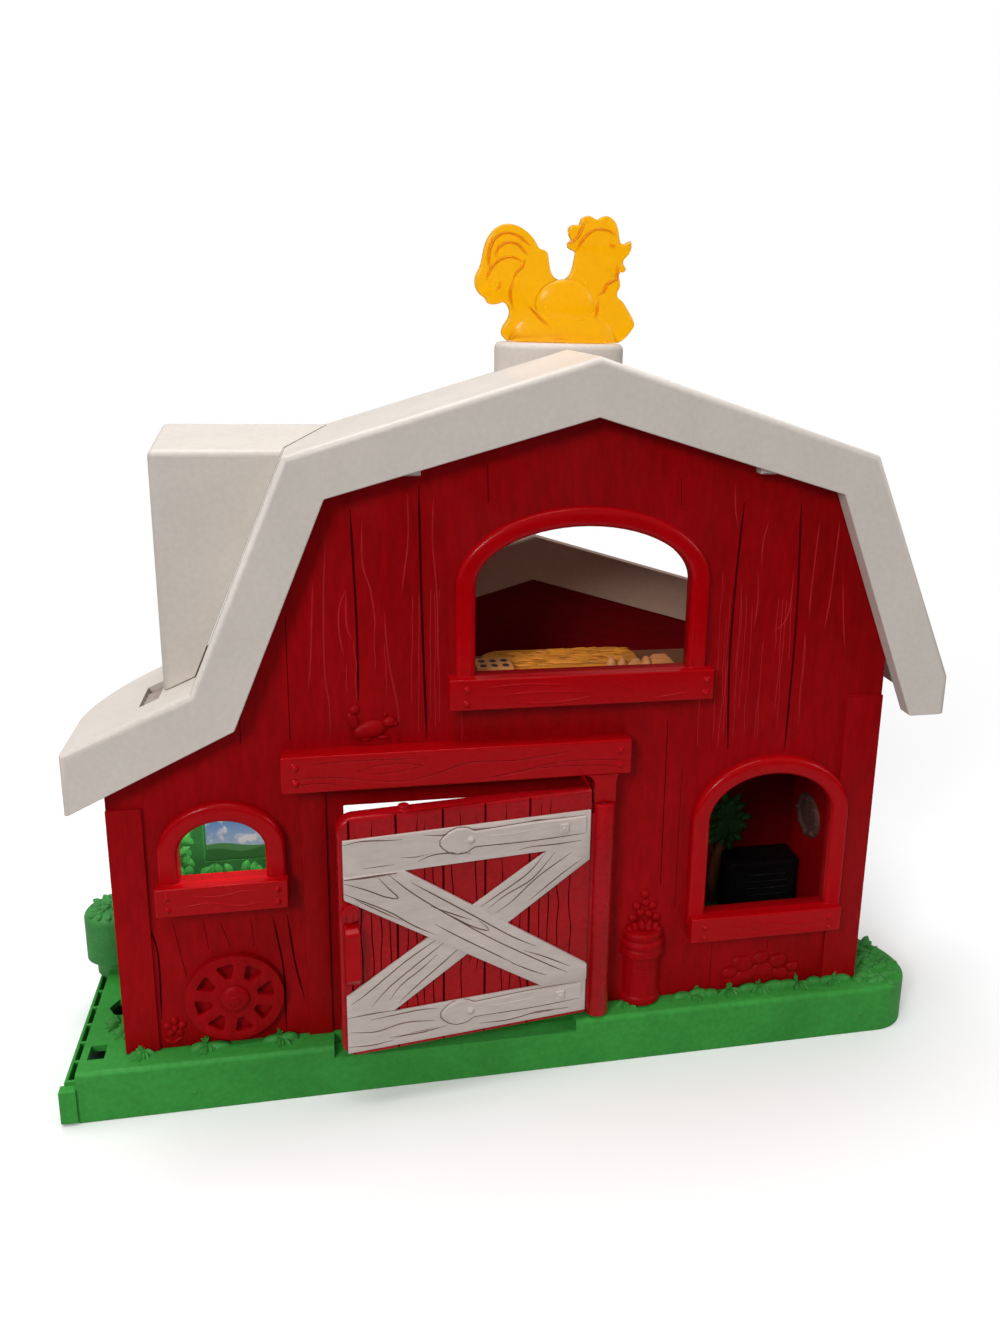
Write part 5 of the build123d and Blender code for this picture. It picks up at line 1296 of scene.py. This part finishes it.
# The crate's holes are flat dark ovals: painted shade for the dark inside a hole.
holes = bmesh.new()
for x in (-44, -39, -34):
    for d in (13.2, 19.8):
        lump(holes, raised(on_loft, CRATE_TALL), x, d, 1.7, 2.4, 0.25)
relief("crate_hole_shades", holes, hole_painted_shade, "barn", "tan_plastic")

# %% [markdown]
# The straw is one flat insert of yellow plastic with strands cut into its top. Here each strand is a short ridge with
# a slight bend, laid mostly along the insert from a fixed seed.

# %% Straw strands
STRANDS, STRAW_TOP = 90, 4.45
strands = bmesh.new()
for k in range(STRANDS):
    x, d = chance.uniform(-40, 19), chance.uniform(20.5, 41)
    a = chance.uniform(-0.5, 0.5)
    reach = chance.uniform(3.0, 6.5)
    place = raised(on_loft, STRAW_TOP + chance.uniform(0.0, 0.5))
    along, back = reach * math.cos(a), reach * math.sin(a)
    bead(strands, place, [(x, d), (x + along, d + back), (x + 1.9 * along, d + 1.9 * back * 0.7)], 0.5, 0.7, sides=4,
         fade=1)
relief("straw_strands", strands, straw_yellow, "barn", "straw_plastic")

# %% [markdown]
# In the room's back corner a small tree is moulded on the wall beside the sound box. It is seen only through the right
# window, so a few lumps and leaves are enough. The leaves turn outwards by a fixed angle, as they do on a real stalk.

# %% Tree in the room
def on_back(x, h, out):
    """The back wall's inner face."""
    return spot(x, ROOM_D - out, h)


tree = bmesh.new()
for k in range(26):
    a = k * 2.4
    reach = 1.9 * math.sqrt(k)
    leaf(tree, raised(on_back, 1.0), 99.5 + reach * math.cos(a), 49 + 1.35 * reach * math.sin(a), 6.5, 4.6,
         math.degrees(a), 1.5, sink=1.0)
for x, h, size in ((98, 44, 7), (105, 46, 6.5), (101.5, 54, 7.5)):
    lump(tree, on_back, x, h, size, size, 2.4)
# The tree's darker green is painted shade for the room's corner.
relief("tree_leaves", tree, tree_green_painted_shade, "barn", "green_plastic")
trunk = bmesh.new()
bead(trunk, on_back, [(93.5, 0.5), (94.5, 14), (96.5, 28), (99, 41)], 3.4, 3.2, sides=8)
bead(trunk, on_back, [(96, 26), (92.5, 33), (91, 38)], 1.5, 1.8)
relief("tree_trunk", trunk, trunk_brown, "barn", "dark_plastic")

# %% [markdown]
# An oval plate with a raised rim hangs on the right wall's inner face. Eight small lumps on the rim give it the
# uneven edge that shows in the window's shade.

# %% Oval plate in the room
def on_right(d, h, out):
    """The right wall's inner face."""
    return spot(WALL_R - WALL_T - out, d, h)


wreath = bmesh.new()
OVAL_AT, OVAL_HALF = (58.5, 60), (11.5, 9.5)
turns = [2 * math.pi * k / 24 for k in range(25)]
oval = [(OVAL_AT[0] + OVAL_HALF[0] * math.cos(a), OVAL_AT[1] + OVAL_HALF[1] * math.sin(a)) for a in turns]
bead(wreath, on_right, oval, 2.4, 2.0, closed=True)
lump(wreath, on_right, *OVAL_AT, *OVAL_HALF, 1.2, around=28)
for k in range(8):
    x, h = oval[3 * k]
    lump(wreath, raised(on_right, 1.0), x, h, 2.2, 1.6, 1.8, 45 * k)
relief("room_wreath", wreath, wreath_brown)

# %% [markdown]
# Moulding itself leaves small marks: round stubs on the base's front, where the plastic ran in.

# %% Gate marks
marks = bmesh.new()
BASE_FRONT = -12.0
for x, h in ((-173, -15.4), (142.1, -14.4)):
    lump(marks, lambda x, h, out: spot(x, BASE_FRONT - out, h), x, h, 1.1, 1.1, 0.45)
relief("base_gate_marks", marks, grass_green, "barn", "green_plastic")

# %% [markdown]
# The last step prints the finished toy's box beside the imported model's box.

# %% Sizes and the end
low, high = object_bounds()
for a, b, c, e in zip("xyz", cad_box[0], low, zip(cad_box[1], high)):
    print(a, "cad", round(b, 4), round(e[0], 4), "visual", round(c, 4), round(e[1], 4))
